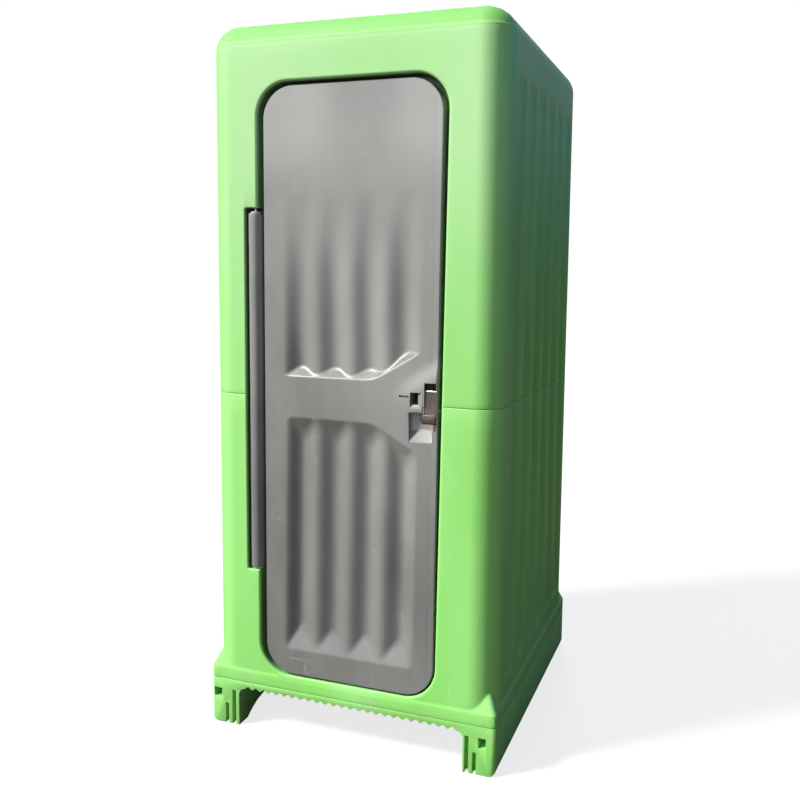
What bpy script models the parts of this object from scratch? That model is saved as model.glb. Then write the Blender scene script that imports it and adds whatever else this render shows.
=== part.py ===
"""Portable chemical toilet cabin: moulded base, two fluted shells, hinged door and inner fittings.

Metres, +Z up, front towards -Y, origin on the ground at the middle of the footprint.
"""
import math

import bmesh
import bpy
from mathutils import Matrix, Vector

# Driving dimensions
BASE_WIDTH = 1.00
BASE_DEPTH = 1.05
ROOF_EDGE_HEIGHT = 2.30
BASE_HEIGHT = 0.155
FLOOR_HEIGHT = 0.195
SEAM_HEIGHT = 1.131
SHELL_HALF_WIDTH = 0.495
SHELL_HALF_DEPTH = 0.5225
SHELL_CORNER = 0.090
ROOF_EDGE_RADIUS = 0.085
WALL = 0.040
FRONT_WALL = 0.0675
GAP = 0.0003

# Door opening and door, both as left, right at the bottom, right at the top, bottom and top
OPENING = (-0.312, 0.302, 0.320, 0.206, 2.108)
OPENING_CORNER = 0.105
STOP_DEPTH = 0.0475
STOP_WIDTH = 0.032
DOOR = (-0.291, 0.296, 0.304, 0.211, 2.096)
DOOR_CORNER = 0.100
DOOR_FRONT = -0.5205
DOOR_THICKNESS = 0.043
DOOR_BACK = DOOR_FRONT + DOOR_THICKNESS

# Hinge
HINGE_X = -0.330
HINGE_Y = -0.500
NOTCH_LEFT = -0.358
NOTCH_BOTTOM = 0.550
NOTCH_TOP = 1.726
BARREL_RADIUS = 0.0225
BARREL_BOTTOM = 0.557
BARREL_TOP = 1.710
ROD_RADIUS = 0.006

# Room inside the shells
ROOM_HALF_WIDTH = SHELL_HALF_WIDTH - WALL
ROOM_FRONT = -SHELL_HALF_DEPTH + FRONT_WALL
ROOM_BACK = SHELL_HALF_DEPTH - WALL + 0.0025
ROOM_CENTRE_Y = (ROOM_FRONT + ROOM_BACK) / 2
ROOM_HALF_DEPTH = (ROOM_BACK - ROOM_FRONT) / 2
ROOM_CORNER = 0.050
CEILING_HEIGHT = 2.270

# Toilet
TANK_TOP = 0.610
SEAT_Y = 0.212
SEAT_BOTTOM = 0.622
LID_BOTTOM = 0.6447
LID_AXIS_Y = 0.432
LID_AXIS_Z = 0.655

# Vent stack
PIPE_X = 0.340
PIPE_Y = 0.380
PIPE_RADIUS = 0.045
PIPE_TOP = 2.335
ROOF_BOSS_TOP = 2.312


# Scene and mesh helpers

def clear_scene():
    for old_object in list(bpy.data.objects):
        bpy.data.objects.remove(old_object, do_unlink=True)


def make_material(name, colour, roughness, metallic=0.0):
    material = bpy.data.materials.new(name)
    material.use_nodes = True
    shader = material.node_tree.nodes["Principled BSDF"]
    shader.inputs["Base Color"].default_value = (*colour, 1.0)
    shader.inputs["Roughness"].default_value = roughness
    shader.inputs["Metallic"].default_value = metallic
    return material


def make_object(name, bm):
    """Turn a bmesh into a linked object with its faces pointing out."""
    bmesh.ops.recalc_face_normals(bm, faces=bm.faces)
    mesh = bpy.data.meshes.new(name)
    bm.to_mesh(mesh)
    bm.free()
    new_object = bpy.data.objects.new(name, mesh)
    bpy.context.scene.collection.objects.link(new_object)
    return new_object


def loft(name, sections, ring=False):
    """Skin closed loops of equal length, capped at both ends or closed into a ring."""
    bm = bmesh.new()
    loops = [[bm.verts.new(point) for point in section] for section in sections]
    count = len(loops[0])
    pairs = list(zip(loops, loops[1:]))
    if ring:
        pairs.append((loops[-1], loops[0]))
    for lower, upper in pairs:
        for index in range(count):
            following = (index + 1) % count
            bm.faces.new((lower[index], lower[following], upper[following], upper[index]))
    if not ring:
        bm.faces.new(list(reversed(loops[0])))
        bm.faces.new(loops[-1])
    return make_object(name, bm)


def turned(name, profile, segments, centre, closed=True):
    """Spin a profile of (radius, height) points about a vertical axis."""
    bm = bmesh.new()
    points = [bm.verts.new((centre[0] + radius, centre[1], height)) for radius, height in profile]
    edges = [bm.edges.new(pair) for pair in zip(points, points[1:])]
    if closed:
        edges.append(bm.edges.new((points[-1], points[0])))
    bmesh.ops.spin(
        bm, geom=points + edges, cent=(centre[0], centre[1], 0), axis=(0, 0, 1),
        angle=2 * math.pi, steps=segments, use_merge=True)
    bmesh.ops.remove_doubles(bm, verts=bm.verts, dist=0.00001)
    return make_object(name, bm)


def prism(name, outline, axis, start, end):
    """Extrude a flat outline along one axis between two coordinates."""
    place = {
        "X": lambda a, b, along: (along, a, b),
        "Y": lambda a, b, along: (a, along, b),
        "Z": lambda a, b, along: (a, b, along),
    }[axis]
    sections = [[place(a, b, along) for a, b in outline] for along in (start, end)]
    return loft(name, sections)


def box(name, low, high):
    outline = ((low[0], low[1]), (high[0], low[1]), (high[0], high[1]), (low[0], high[1]))
    return prism(name, outline, "Z", low[2], high[2])


def cylinder(name, start, end, radius, segments=16):
    """A plain round bar between two points."""
    start = Vector(start)
    end = Vector(end)
    bm = bmesh.new()
    bmesh.ops.create_cone(
        bm, cap_ends=True, segments=segments, radius1=radius, radius2=radius,
        depth=(end - start).length)
    turn = (end - start).to_track_quat("Z", "Y").to_matrix().to_4x4()
    bmesh.ops.transform(bm, matrix=Matrix.Translation((start + end) / 2) @ turn, verts=bm.verts)
    return make_object(name, bm)


def bent_tube(name, points, radius, resolution=2):
    """A round bar swept along straight runs with the given corner points already rounded."""
    curve = bpy.data.curves.new(name, "CURVE")
    curve.dimensions = "3D"
    curve.bevel_depth = radius
    curve.bevel_resolution = resolution
    curve.use_fill_caps = True
    spline = curve.splines.new("POLY")
    spline.points.add(len(points) - 1)
    for spline_point, point in zip(spline.points, points):
        spline_point.co = (*point, 1.0)
    guide = bpy.data.objects.new(name + "_path", curve)
    bpy.context.scene.collection.objects.link(guide)
    mesh = bpy.data.meshes.new_from_object(
        guide.evaluated_get(bpy.context.evaluated_depsgraph_get()))
    bpy.data.objects.remove(guide, do_unlink=True)
    bm = bmesh.new()
    bm.from_mesh(mesh)
    bmesh.ops.remove_doubles(bm, verts=bm.verts, dist=0.00001)
    bpy.data.meshes.remove(mesh)
    return make_object(name, bm)


def round_corner(before, corner, after, radius, steps=4):
    """Points of an arc that rounds a corner between two straight runs."""
    corner = Vector(corner)
    towards_start = (Vector(before) - corner).normalized()
    towards_end = (Vector(after) - corner).normalized()
    half_angle = towards_start.angle(towards_end) / 2
    reach = radius / math.tan(half_angle)
    centre = corner + (towards_start + towards_end).normalized() * (radius / math.sin(half_angle))
    first = corner + towards_start * reach - centre
    last = corner + towards_end * reach - centre
    arc = [first.slerp(last, step / steps).normalized() for step in range(steps + 1)]
    return [centre + direction * radius for direction in arc]


def combine(target, tool, operation="DIFFERENCE"):
    """Apply an exact Boolean to the target and use up the tool."""
    modifier = target.modifiers.new(operation.title(), "BOOLEAN")
    modifier.operation = operation
    modifier.solver = "EXACT"
    modifier.object = tool
    result = bpy.data.meshes.new_from_object(
        target.evaluated_get(bpy.context.evaluated_depsgraph_get()))
    target.modifiers.clear()
    used_mesh = target.data
    target.data = result
    bpy.data.meshes.remove(used_mesh)
    bpy.data.objects.remove(tool, do_unlink=True)


def join(target, *tools):
    for tool in tools:
        combine(target, tool, "UNION")


def cut(target, *tools):
    for tool in tools:
        combine(target, tool, "DIFFERENCE")


def finish(target, material, smooth_angle=None, origin=None):
    """Give a finished piece its material, its shading and its origin."""
    target.data.materials.clear()
    target.data.materials.append(material)
    if smooth_angle is not None:
        target.data.shade_smooth()
        target.data.set_sharp_from_angle(angle=math.radians(smooth_angle))
    if origin is not None:
        target.data.transform(Matrix.Translation(-Vector(origin)))
        target.location = origin


# Outlines

def rounded_rectangle(half_a, half_b, radius, segments=6, centre=(0.0, 0.0)):
    """Corner arcs of a rounded rectangle, anticlockwise from the low right corner."""
    points = []
    for sign_a, sign_b, start in ((1, -1, -90), (1, 1, 0), (-1, 1, 90), (-1, -1, 180)):
        for step in range(segments + 1):
            angle = math.radians(start + 90 * step / segments)
            points.append((
                centre[0] + sign_a * (half_a - radius) + radius * math.cos(angle),
                centre[1] + sign_b * (half_b - radius) + radius * math.sin(angle)))
    return points


def door_shape(size, grow, radius, segments=6):
    """Rounded outline of the door or its opening, whose right edge leans with height."""
    left, right_low, right_high, bottom, top = size
    corners = (
        (right_low + grow, bottom - grow, 1, -1, -90),
        (right_high + grow, top + grow, 1, 1, 0),
        (left - grow, top + grow, -1, 1, 90),
        (left - grow, bottom - grow, -1, -1, 180))
    radius = radius + grow
    points = []
    for x, z, sign_x, sign_z, start in corners:
        for step in range(segments + 1):
            angle = math.radians(start + 90 * step / segments)
            points.append((
                x - sign_x * radius + radius * math.cos(angle),
                z - sign_z * radius + radius * math.sin(angle)))
    return points


def at_height(outline, height):
    return [(x, y, height) for x, y in outline]


def at_depth(outline, y):
    return [(x, y, z) for x, z in outline]


def shell_section(height, inset=0.0, corner=SHELL_CORNER):
    outline = rounded_rectangle(
        SHELL_HALF_WIDTH - inset, SHELL_HALF_DEPTH - inset, max(corner - inset, 0.008), 7)
    return at_height(outline, height)


def room_section(height, grow=0.0):
    outline = rounded_rectangle(
        ROOM_HALF_WIDTH + grow, ROOM_HALF_DEPTH + grow, ROOM_CORNER + grow, 7,
        (0.0, ROOM_CENTRE_Y))
    return at_height(outline, height)


# Shared cutters

FLUTE_PITCH = 0.142
FLUTE_MOUTH = 0.054
FLUTE_FLOOR = 0.036
FLUTE_DEPTH = 0.015
FLUTE_END = 0.030
FLUTE_END_SHARE = 0.40
FLUTE_PLACES = [(index - 2.5) * FLUTE_PITCH for index in range(6)]


def flute_cutter(wall, centre, bottom, top):
    """A vertical trough, deepest at the seam, with drafted sides and ends, cut into one wall."""
    margin = 0.004
    far_end = bottom if SEAM_HEIGHT - bottom > top - SEAM_HEIGHT else top
    levels = (
        (margin, FLUTE_MOUTH + 0.004, -0.008),
        (-0.30 * FLUTE_DEPTH, FLUTE_MOUTH - 0.004, 0.25 * FLUTE_END),
        (-0.85 * FLUTE_DEPTH, FLUTE_FLOOR + 0.004, 0.75 * FLUTE_END),
        (-FLUTE_DEPTH, FLUTE_FLOOR - 0.002, FLUTE_END))
    sections = []
    for out, half_width, end in levels:
        outline = rounded_rectangle(
            half_width, (top - bottom) / 2 - end, 0.016, 1, (centre, (top + bottom) / 2))
        section = []
        for along, z in outline:
            fade = (1 - FLUTE_END_SHARE) * abs(z - SEAM_HEIGHT) / abs(far_end - SEAM_HEIGHT)
            reach = out if out > 0 else out * (1 - fade)
            if wall == "right":
                section.append((SHELL_HALF_WIDTH + reach, along, z))
            elif wall == "left":
                section.append((-SHELL_HALF_WIDTH - reach, along, z))
            else:
                section.append((along, SHELL_HALF_DEPTH + reach, z))
        sections.append(section)
    return loft("flute_cutter", sections)


def cut_flutes(shell, bottom, side_top, rear_top):
    for centre in FLUTE_PLACES:
        cut(shell, flute_cutter("right", centre, bottom, side_top))
        cut(shell, flute_cutter("left", centre, bottom, side_top))
    for centre in FLUTE_PLACES:
        cut(shell, flute_cutter("rear", centre, bottom, rear_top))


def opening_cutter():
    """The door opening: rounded lip, straight jamb and the narrower hole inside the stop."""
    front = -SHELL_HALF_DEPTH
    levels = (
        (front - 0.0175, 0.0120), (front + 0.0010, 0.0055), (front + 0.0040, 0.0015),
        (front + 0.0095, 0.0), (front + STOP_DEPTH, 0.0), (front + STOP_DEPTH, -STOP_WIDTH),
        (ROOM_FRONT + 0.010, -STOP_WIDTH))
    sections = [
        at_depth(door_shape(OPENING, grow, OPENING_CORNER, 7), y) for y, grow in levels]
    return loft("opening_cutter", sections)


def notch_cutter():
    """The slot in the left jamb that takes the door's hinge barrel."""
    front = -SHELL_HALF_DEPTH
    return box(
        "notch_cutter", (NOTCH_LEFT, front - 0.010, NOTCH_BOTTOM),
        (OPENING[0] + 0.020, front + STOP_DEPTH - 0.0005, NOTCH_TOP))


def rod_hole(bottom, top):
    return cylinder(
        "rod_hole", (HINGE_X, HINGE_Y, bottom), (HINGE_X, HINGE_Y, top), ROD_RADIUS + 0.0004, 12)


SEAM_BOLT_HEIGHT = 1.1185
SEAM_BOLT_PLACES = [
    ("left_front", (-1, 0), -0.284), ("left_rear", (-1, 0), 0.284),
    ("right_front", (1, 0), -0.284), ("right_rear", (1, 0), 0.284),
    ("rear_left", (0, 1), -0.213), ("rear_right", (0, 1), 0.213)]


def seam_bolt_line(direction, along, inner, outer):
    """Start and end of a seam bolt's axis, measured outwards from the room's wall."""
    if direction[0]:
        face = ROOM_HALF_WIDTH
        return [(direction[0] * (face + reach), along, SEAM_BOLT_HEIGHT) for reach in (inner, outer)]
    return [(along, ROOM_BACK + reach, SEAM_BOLT_HEIGHT) for reach in (inner, outer)]


def cut_seam_bolt_holes(shell):
    for _, direction, along in SEAM_BOLT_PLACES:
        start, end = seam_bolt_line(direction, along, -0.010, 0.0195)
        cut(shell, cylinder("bolt_hole", start, end, 0.0045, 8))


VENT_OPENING = (0.130, 0.036, 2.172)
BASE_BOLT_X = 0.466
BASE_BOLT_Y = 0.300
BASE_BOLT_SEAT = 0.120


def cut_base_bolt_holes(target):
    for side in (-1, 1):
        for end in (-1, 1):
            x, y = side * BASE_BOLT_X, end * BASE_BOLT_Y
            cut(target, cylinder("bolt_hole", (x, y, 0.100), (x, y, 0.187), 0.0045, 8))


# Base moulding

RUNNER_WIDTH = 0.105
FORK_CEILING = 0.130
RIB_PITCH = 0.030
RIB_COUNT = 25
RIB_DEPTH = 0.009


def base_profile():
    """Front view of the base: two runners and a deck with hanging ribs between them."""
    half = BASE_WIDTH / 2
    foot_round = 0.022
    inner = half - RUNNER_WIDTH
    haunch = 0.020
    right = []
    for step in range(4):
        angle = math.radians(-90 + 30 * step)
        right.append((
            half - foot_round + foot_round * math.cos(angle),
            foot_round + foot_round * math.sin(angle)))
    right.append((half, BASE_HEIGHT - 0.004))
    right.append((half - 0.002, BASE_HEIGHT))
    inner_right = [(inner, 0.0), (inner, FORK_CEILING - haunch)]
    inner_right.append((inner - 0.3 * haunch, FORK_CEILING - 0.3 * haunch))
    inner_right.append((inner - haunch, FORK_CEILING))
    ribs = []
    steps_per_rib = 6
    for step in range(RIB_COUNT * steps_per_rib + 1):
        x = -RIB_PITCH * RIB_COUNT / 2 + RIB_PITCH * step / steps_per_rib
        phase = step % steps_per_rib / steps_per_rib
        ribs.append((x, FORK_CEILING + RIB_DEPTH * (0.5 - 0.5 * math.cos(2 * math.pi * phase))))
    left = [(-x, z) for x, z in reversed(right)]
    inner_left = [(-x, z) for x, z in inner_right]
    return (
        right + left + inner_left[:-1] + ribs + list(reversed(inner_right[:-1])))


def runner_arch(side):
    """The raised inner edge of a runner between its two feet."""
    rise = [(0.485, -0.010), (0.463, 0.006), (0.440, 0.020), (0.405, 0.034), (0.350, 0.044),
            (0.290, 0.048)]
    outline = [(-y, z) for y, z in rise] + list(reversed(rise))
    ends = sorted((side * 0.462, side * (BASE_WIDTH / 2 - RUNNER_WIDTH - 0.010)))
    return prism("runner_arch", outline, "X", ends[0], ends[1])


def foot_slots(side, end):
    """The square pin hole and the two open slots in the end face of one foot."""
    face = end * (BASE_DEPTH / 2 + 0.010)
    slots = {
        -1: ((0.461, 0.492, 0.0875, 0.119, 0.060), (0.4345, 0.4475, -0.010, 0.070, 0.020),
             (0.4070, 0.4210, -0.010, 0.119, 0.020)),
        1: ((0.445, 0.469, 0.0865, 0.119, 0.060), (0.4270, 0.4390, -0.010, 0.070, 0.020),
            (0.4015, 0.4145, -0.010, 0.119, 0.020))}
    cutters = []
    for near, far, low, high, depth in slots[side]:
        inner_face = end * (BASE_DEPTH / 2 - depth)
        x_low, x_high = sorted((side * near, side * far))
        y_low, y_high = sorted((face, inner_face))
        cutters.append(box("foot_slot", (x_low, y_low, low), (x_high, y_high, high)))
    return cutters


def build_base(plastic):
    base = prism("base", base_profile(), "Y", -BASE_DEPTH / 2, BASE_DEPTH / 2)
    plan = rounded_rectangle(BASE_WIDTH / 2, BASE_DEPTH / 2, 0.014, 3)
    combine(base, prism("plan", plan, "Z", -0.020, BASE_HEIGHT + 0.020), "INTERSECT")
    plinth = rounded_rectangle(
        ROOM_HALF_WIDTH - 0.0005, ROOM_HALF_DEPTH - 0.0005, ROOM_CORNER, 7, (0.0, ROOM_CENTRE_Y))
    join(base, prism("plinth", plinth, "Z", BASE_HEIGHT - 0.012, FLOOR_HEIGHT))
    for side in (-1, 1):
        cut(base, runner_arch(side))
        for end in (-1, 1):
            cut(base, *foot_slots(side, end))
            x, y = side * BASE_BOLT_X, end * BASE_BOLT_Y
            cut(base, cylinder("counterbore", (x, y, -0.010), (x, y, BASE_BOLT_SEAT), 0.0095, 12))
    cut_base_bolt_holes(base)
    finish(base, plastic, 40)
    return base


# Shells

TONGUE_DEPTH = 0.025
TONGUE_WIDTH = 0.0140

# Heights and insets of the square skirt, whose sloped top dies into the round corners
HIP_LEVELS = (
    (BASE_HEIGHT + GAP, 0.002), (BASE_HEIGHT + 0.004, 0.0), (0.192, 0.0), (0.1945, 0.0010),
    (0.264, 0.0310))


def build_lower_shell(plastic):
    """The lower cabin half, whose rounded corners stand on the sloped hips of a square skirt."""
    column = [
        (BASE_HEIGHT + 0.010, 0.0), (SEAM_HEIGHT - 0.003, 0.0), (SEAM_HEIGHT, 0.0025)]
    shell = loft("lower_shell", [shell_section(height, inset) for height, inset in column])
    skirt = []
    for height, inset in HIP_LEVELS:
        outline = rounded_rectangle(BASE_WIDTH / 2 - inset, BASE_DEPTH / 2 - inset, 0.014, 3)
        skirt.append(at_height(outline, height))
    join(shell, loft("skirt", skirt))
    room = [
        room_section(BASE_HEIGHT - 0.050), room_section(SEAM_HEIGHT - TONGUE_DEPTH),
        room_section(SEAM_HEIGHT - TONGUE_DEPTH, TONGUE_WIDTH),
        room_section(SEAM_HEIGHT + 0.050, TONGUE_WIDTH)]
    cut(shell, loft("room", room), opening_cutter(), notch_cutter(), rod_hole(0.495, 0.560))
    cut_flutes(shell, 0.262, SEAM_HEIGHT + 0.080, SEAM_HEIGHT + 0.080)
    cut_seam_bolt_holes(shell)
    cut_base_bolt_holes(shell)
    finish(shell, plastic, 35)
    return shell


def build_upper_shell(plastic):
    """The upper cabin half with the roof moulded on and a tongue that drops into the lower half."""
    tongue = TONGUE_WIDTH - GAP
    sections = [
        room_section(SEAM_HEIGHT + GAP - TONGUE_DEPTH, tongue),
        room_section(SEAM_HEIGHT + GAP, tongue),
        shell_section(SEAM_HEIGHT + GAP, 0.0025),
        shell_section(SEAM_HEIGHT + GAP + 0.003)]
    arc_steps = 6
    for step in range(arc_steps + 1):
        angle = math.radians(90 * step / arc_steps)
        inset = ROOF_EDGE_RADIUS * (1 - math.cos(angle))
        height = ROOF_EDGE_HEIGHT - ROOF_EDGE_RADIUS * (1 - math.sin(angle))
        sections.append(shell_section(height, inset))
    sections.append(shell_section(ROOF_EDGE_HEIGHT + 0.006, 0.250))
    shell = loft("upper_shell", sections)
    boss = (PIPE_X, PIPE_Y)
    join(shell, turned(
        "boss", [(0.0, 2.285), (0.076, 2.285), (0.072, ROOF_BOSS_TOP), (0.0, ROOF_BOSS_TOP)], 24,
        boss, closed=False))
    room = [room_section(SEAM_HEIGHT - 0.080), room_section(CEILING_HEIGHT - 0.045)]
    for step in range(1, 4):
        angle = math.radians(30 * step)
        room.append(room_section(
            CEILING_HEIGHT - 0.045 * (1 - math.sin(angle)), -0.045 * (1 - math.cos(angle))))
    cut(shell, loft("room", room), opening_cutter(), notch_cutter(), rod_hole(1.720, 1.7905))
    cut(shell, cylinder(
        "pipe_hole", (PIPE_X, PIPE_Y, 2.20), (PIPE_X, PIPE_Y, 2.40), PIPE_RADIUS + 0.0015, 24))
    cut_flutes(shell, SEAM_HEIGHT - 0.080, 2.136, 2.112)
    half_width, half_height, level = VENT_OPENING
    vent = rounded_rectangle(half_width, half_height, 0.006, 2, (0.0, level))
    cut(shell, prism("vent_hole", vent, "Y", ROOM_BACK - 0.040, SHELL_HALF_DEPTH + 0.020))
    cut_seam_bolt_holes(shell)
    finish(shell, plastic, 35)
    return shell


def build_seam_bolts(steel):
    """Round-headed bolts through the tongue, put in from inside the cabin."""
    for label, direction, along in SEAM_BOLT_PLACES:
        bolt = cylinder(
            "seam_bolt_" + label, *seam_bolt_line(direction, along, -0.002, 0.0185), 0.004, 8)
        head = cylinder("head", *seam_bolt_line(direction, along, -0.0055, -GAP), 0.0085, 12)
        join(bolt, head)
        finish(bolt, steel, 40)


def build_vent_grille(plastic):
    """Snap-in louvre frame in the rear wall, above the flutes."""
    half_width, half_height, level = VENT_OPENING
    inner = ROOM_BACK - 0.004
    outer = SHELL_HALF_DEPTH - 0.003
    lip = rounded_rectangle(half_width + 0.010, half_height + 0.010, 0.012, 2, (0.0, level))
    body = rounded_rectangle(half_width - 0.0005, half_height - 0.0005, 0.006, 2, (0.0, level))
    grille = prism("vent_grille", lip, "Y", inner, ROOM_BACK - GAP)
    join(grille, prism("sleeve", body, "Y", inner + 0.001, outer))
    slots = 4
    pitch = 0.014
    slot_height = 0.008
    drop = 0.012
    for slot_index in range(slots):
        low = level - (slots * pitch + drop) / 2 + slot_index * pitch + 0.003
        slot = (
            (inner - 0.005, low + drop), (inner - 0.005, low + drop + slot_height),
            (outer + 0.005, low + slot_height), (outer + 0.005, low))
        cut(grille, prism("slot", slot, "X", -half_width + 0.008, half_width - 0.008))
    finish(grille, plastic, 40)


def build_base_bolts(steel):
    """Long screws from the runners' undersides up into the lower shell's walls."""
    for side_name, side in (("left", -1), ("right", 1)):
        for end_name, end in (("front", -1), ("rear", 1)):
            x, y = side * BASE_BOLT_X, end * BASE_BOLT_Y
            bolt = cylinder("base_bolt_%s_%s" % (side_name, end_name), (x, y, 0.110), (x, y, 0.184), 0.004, 8)
            head_top = BASE_BOLT_SEAT - GAP
            join(bolt, cylinder("head", (x, y, head_top - 0.006), (x, y, head_top), 0.0080, 6))
            finish(bolt, steel, 40)


# Door

# Left and right edges of the door's two fields of flutes; the lower one leans a little
UPPER_ZONE = (-0.224, 0.246)
LOWER_ZONE_TOP = (-0.217, 0.241)
LOWER_ZONE_FOOT = (-0.227, 0.229)
LOWER_FIELD = (0.298, 1.067)
DOOR_FLUTES = 4
GROOVE_DEPTH = 0.0265
CREST_DEPTH = 0.0075
PROUD_CREST = -0.0020
COLUMNS_PER_FLUTE = 8
BAND_BEND_X = 0.088
FADE_LOW = 1.22
FADE_HIGH = 1.77
CREST_RISES_BY = 1.56


def groove_depth(turns, groove=GROOVE_DEPTH, crest=CREST_DEPTH):
    """Depth of the corrugation below the door's face, counted in flutes from the field's edge."""
    wave = 0.5 - 0.5 * math.cos(2 * math.pi * turns)
    at_border = turns < 0.5 or turns > DOOR_FLUTES - 0.5
    low_point = PROUD_CREST if at_border else crest
    return low_point + (groove - low_point) * wave


def faded_depth(turns, z):
    """Depth of the upper flutes: the grooves run out and the crests rise towards the top."""
    left_over = min(1.0, (FADE_HIGH - z) / (FADE_HIGH - FADE_LOW))
    groove = (GROOVE_DEPTH + 0.001) * left_over - 0.001
    rise = min(1.0, max(0.0, (z - FADE_LOW) / (CREST_RISES_BY - FADE_LOW)))
    return groove_depth(turns, groove, CREST_DEPTH + (PROUD_CREST - CREST_DEPTH) * rise)


def corrugation_cutter(section_at):
    """Loft a cutter from one upright section for each column across the flutes."""
    columns = DOOR_FLUTES * COLUMNS_PER_FLUTE
    sections = []
    for column in range(columns + 1):
        section = section_at(DOOR_FLUTES * column / columns)
        sections.append([(x, DOOR_FRONT + depth, z) for x, depth, z in section])
    return loft("corrugation", sections)


def upper_flute_section(turns):
    """Upper flutes: a sill that slopes up and in, then grooves that run out towards the top."""
    sill_slope = 1.2
    x = UPPER_ZONE[0] + (UPPER_ZONE[1] - UPPER_ZONE[0]) * turns / DOOR_FLUTES
    low = 1.199 + max(x - BAND_BEND_X, 0.0) * 0.60
    depth = faded_depth(turns, low + 0.5 * GROOVE_DEPTH)
    section = [(x, -0.006, low - 0.006 * sill_slope), (x, depth, low + depth * sill_slope)]
    for z in (1.340, 1.410, 1.485, CREST_RISES_BY, 1.640, 1.700, 1.765):
        section.append((x, faded_depth(turns, z), z))
    section += [(x, -0.003, 1.80), (x, -0.006, 1.80)]
    return section


def lower_flute_section(turns):
    """Lower flutes: a long sloping sill at the foot and a steeper sloped end under the band."""
    sill_slope = 2.7
    end_slope = 2.2
    share = turns / DOOR_FLUTES
    x_foot = LOWER_ZONE_FOOT[0] + (LOWER_ZONE_FOOT[1] - LOWER_ZONE_FOOT[0]) * share
    x_top = LOWER_ZONE_TOP[0] + (LOWER_ZONE_TOP[1] - LOWER_ZONE_TOP[0]) * share
    foot, top = LOWER_FIELD
    high = top - max(x_top - BAND_BEND_X, 0.0) * 0.58
    depth = groove_depth(turns)
    outline = (
        (-0.006, foot - 0.006 * sill_slope), (depth, foot + depth * sill_slope),
        (depth, high - depth * end_slope), (-0.006, high + 0.006 * end_slope))
    return [(x_foot + (x_top - x_foot) * (z - foot) / (top - foot), out, z) for out, z in outline]


def back_panel_cutter(bottom, top):
    """A shallow drafted panel sunk in the door's inner face."""
    levels = ((0.002, 0.215), (-0.006, 0.207))
    sections = []
    for out, half_width in levels:
        outline = rounded_rectangle(
            half_width, (top - bottom) / 2 + out, 0.040, 2, (-0.040, (top + bottom) / 2))
        sections.append(at_depth(outline, DOOR_BACK + out))
    return loft("back_panel", sections)


# Places of the latch, measured on the door's face
LATCH_POCKET = (0.2555, 0.2930, 1.055, 1.201)
LATCH_POCKET_DEPTH = 0.016
SCOOP = (0.206, 0.280, 1.022, 1.107)
SCOOP_DEPTH = 0.022
WINDOW = (0.213, 0.236, 1.133, 1.169)
SLIT = (0.173, 0.205, 1.1540, 1.1595)


def build_door(plastic):
    """Hollow-moulded door leaf with flutes, latch pockets and the hinge barrel on its left edge."""
    levels = (
        (DOOR_FRONT, -0.0110), (DOOR_FRONT + 0.0012, -0.0062), (DOOR_FRONT + 0.0042, -0.0022),
        (DOOR_FRONT + 0.0110, 0.0), (DOOR_BACK - 0.005, 0.0), (DOOR_BACK, -0.005))
    door = loft("door", [at_depth(door_shape(DOOR, grow, DOOR_CORNER, 7), y) for y, grow in levels])
    barrel = cylinder(
        "barrel", (HINGE_X, HINGE_Y, BARREL_BOTTOM), (HINGE_X, HINGE_Y, BARREL_TOP), BARREL_RADIUS, 20)
    web = box(
        "web", (HINGE_X + 0.004, HINGE_Y - 0.011, BARREL_BOTTOM + 0.0005),
        (DOOR[0] + 0.015, HINGE_Y + 0.013, BARREL_TOP - 0.0005))
    join(door, web, barrel)
    cut(door, cylinder(
        "bore", (HINGE_X, HINGE_Y, BARREL_BOTTOM - 0.010), (HINGE_X, HINGE_Y, BARREL_TOP + 0.010),
        ROD_RADIUS + 0.0005, 12))
    cut(door, corrugation_cutter(upper_flute_section), corrugation_cutter(lower_flute_section))
    cut(door, back_panel_cutter(0.330, 1.040), back_panel_cutter(1.240, 1.960))
    left, right, bottom, top = LATCH_POCKET
    cut(door, box(
        "latch_pocket", (left, DOOR_FRONT - 0.010, bottom), (right, DOOR_FRONT + LATCH_POCKET_DEPTH, top)))
    left, right, bottom, top = SCOOP
    scoop = (
        (DOOR_FRONT - 0.004, bottom - 0.006), (DOOR_FRONT + SCOOP_DEPTH, bottom + 0.033),
        (DOOR_FRONT + SCOOP_DEPTH, top), (DOOR_FRONT - 0.004, top))
    cut(door, prism("scoop", scoop, "X", left, right))
    left, right, bottom, top = WINDOW
    cut(door, box("window", (left, DOOR_FRONT - 0.010, bottom), (right, DOOR_BACK + 0.010, top)))
    left, right, bottom, top = SLIT
    cut(door, box("slit", (left, DOOR_FRONT - 0.010, bottom), (right, DOOR_FRONT + 0.010, top)))
    cut(door, box("tongue_slot", (0.285, -0.5150, 1.085), (0.320, -0.5100, 1.148)))
    finish(door, plastic, 30, (HINGE_X, HINGE_Y, (BARREL_BOTTOM + BARREL_TOP) / 2))
    return door


def build_hinge(steel, nylon):
    rod = cylinder("hinge_rod", (HINGE_X, HINGE_Y, 0.500), (HINGE_X, HINGE_Y, 1.7855), ROD_RADIUS, 12)
    finish(rod, steel, 40)
    bush_bore = ROD_RADIUS + 0.0004
    places = (
        ("hinge_bush_lower", NOTCH_BOTTOM + GAP, BARREL_BOTTOM - GAP),
        ("hinge_bush_upper", BARREL_TOP + GAP, BARREL_TOP + 0.0045))
    for name, low, high in places:
        profile = [
            (bush_bore, low), (0.0150, low), (0.0165, low + 0.001), (0.0165, high - 0.001),
            (0.0150, high), (bush_bore, high)]
        finish(turned(name, profile, 16, (HINGE_X, HINGE_Y)), nylon, 40)


# Latch and privacy bolt

PLATE_BACK = -0.5162
PLATE_FRONT = -0.5190
PLATE_LEFT = 0.2565
TONGUE_BACK = -0.5110
TONGUE_FRONT = -0.5138
TAB_FRONT = -0.5245
TAB_BACK = -0.5220


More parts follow.
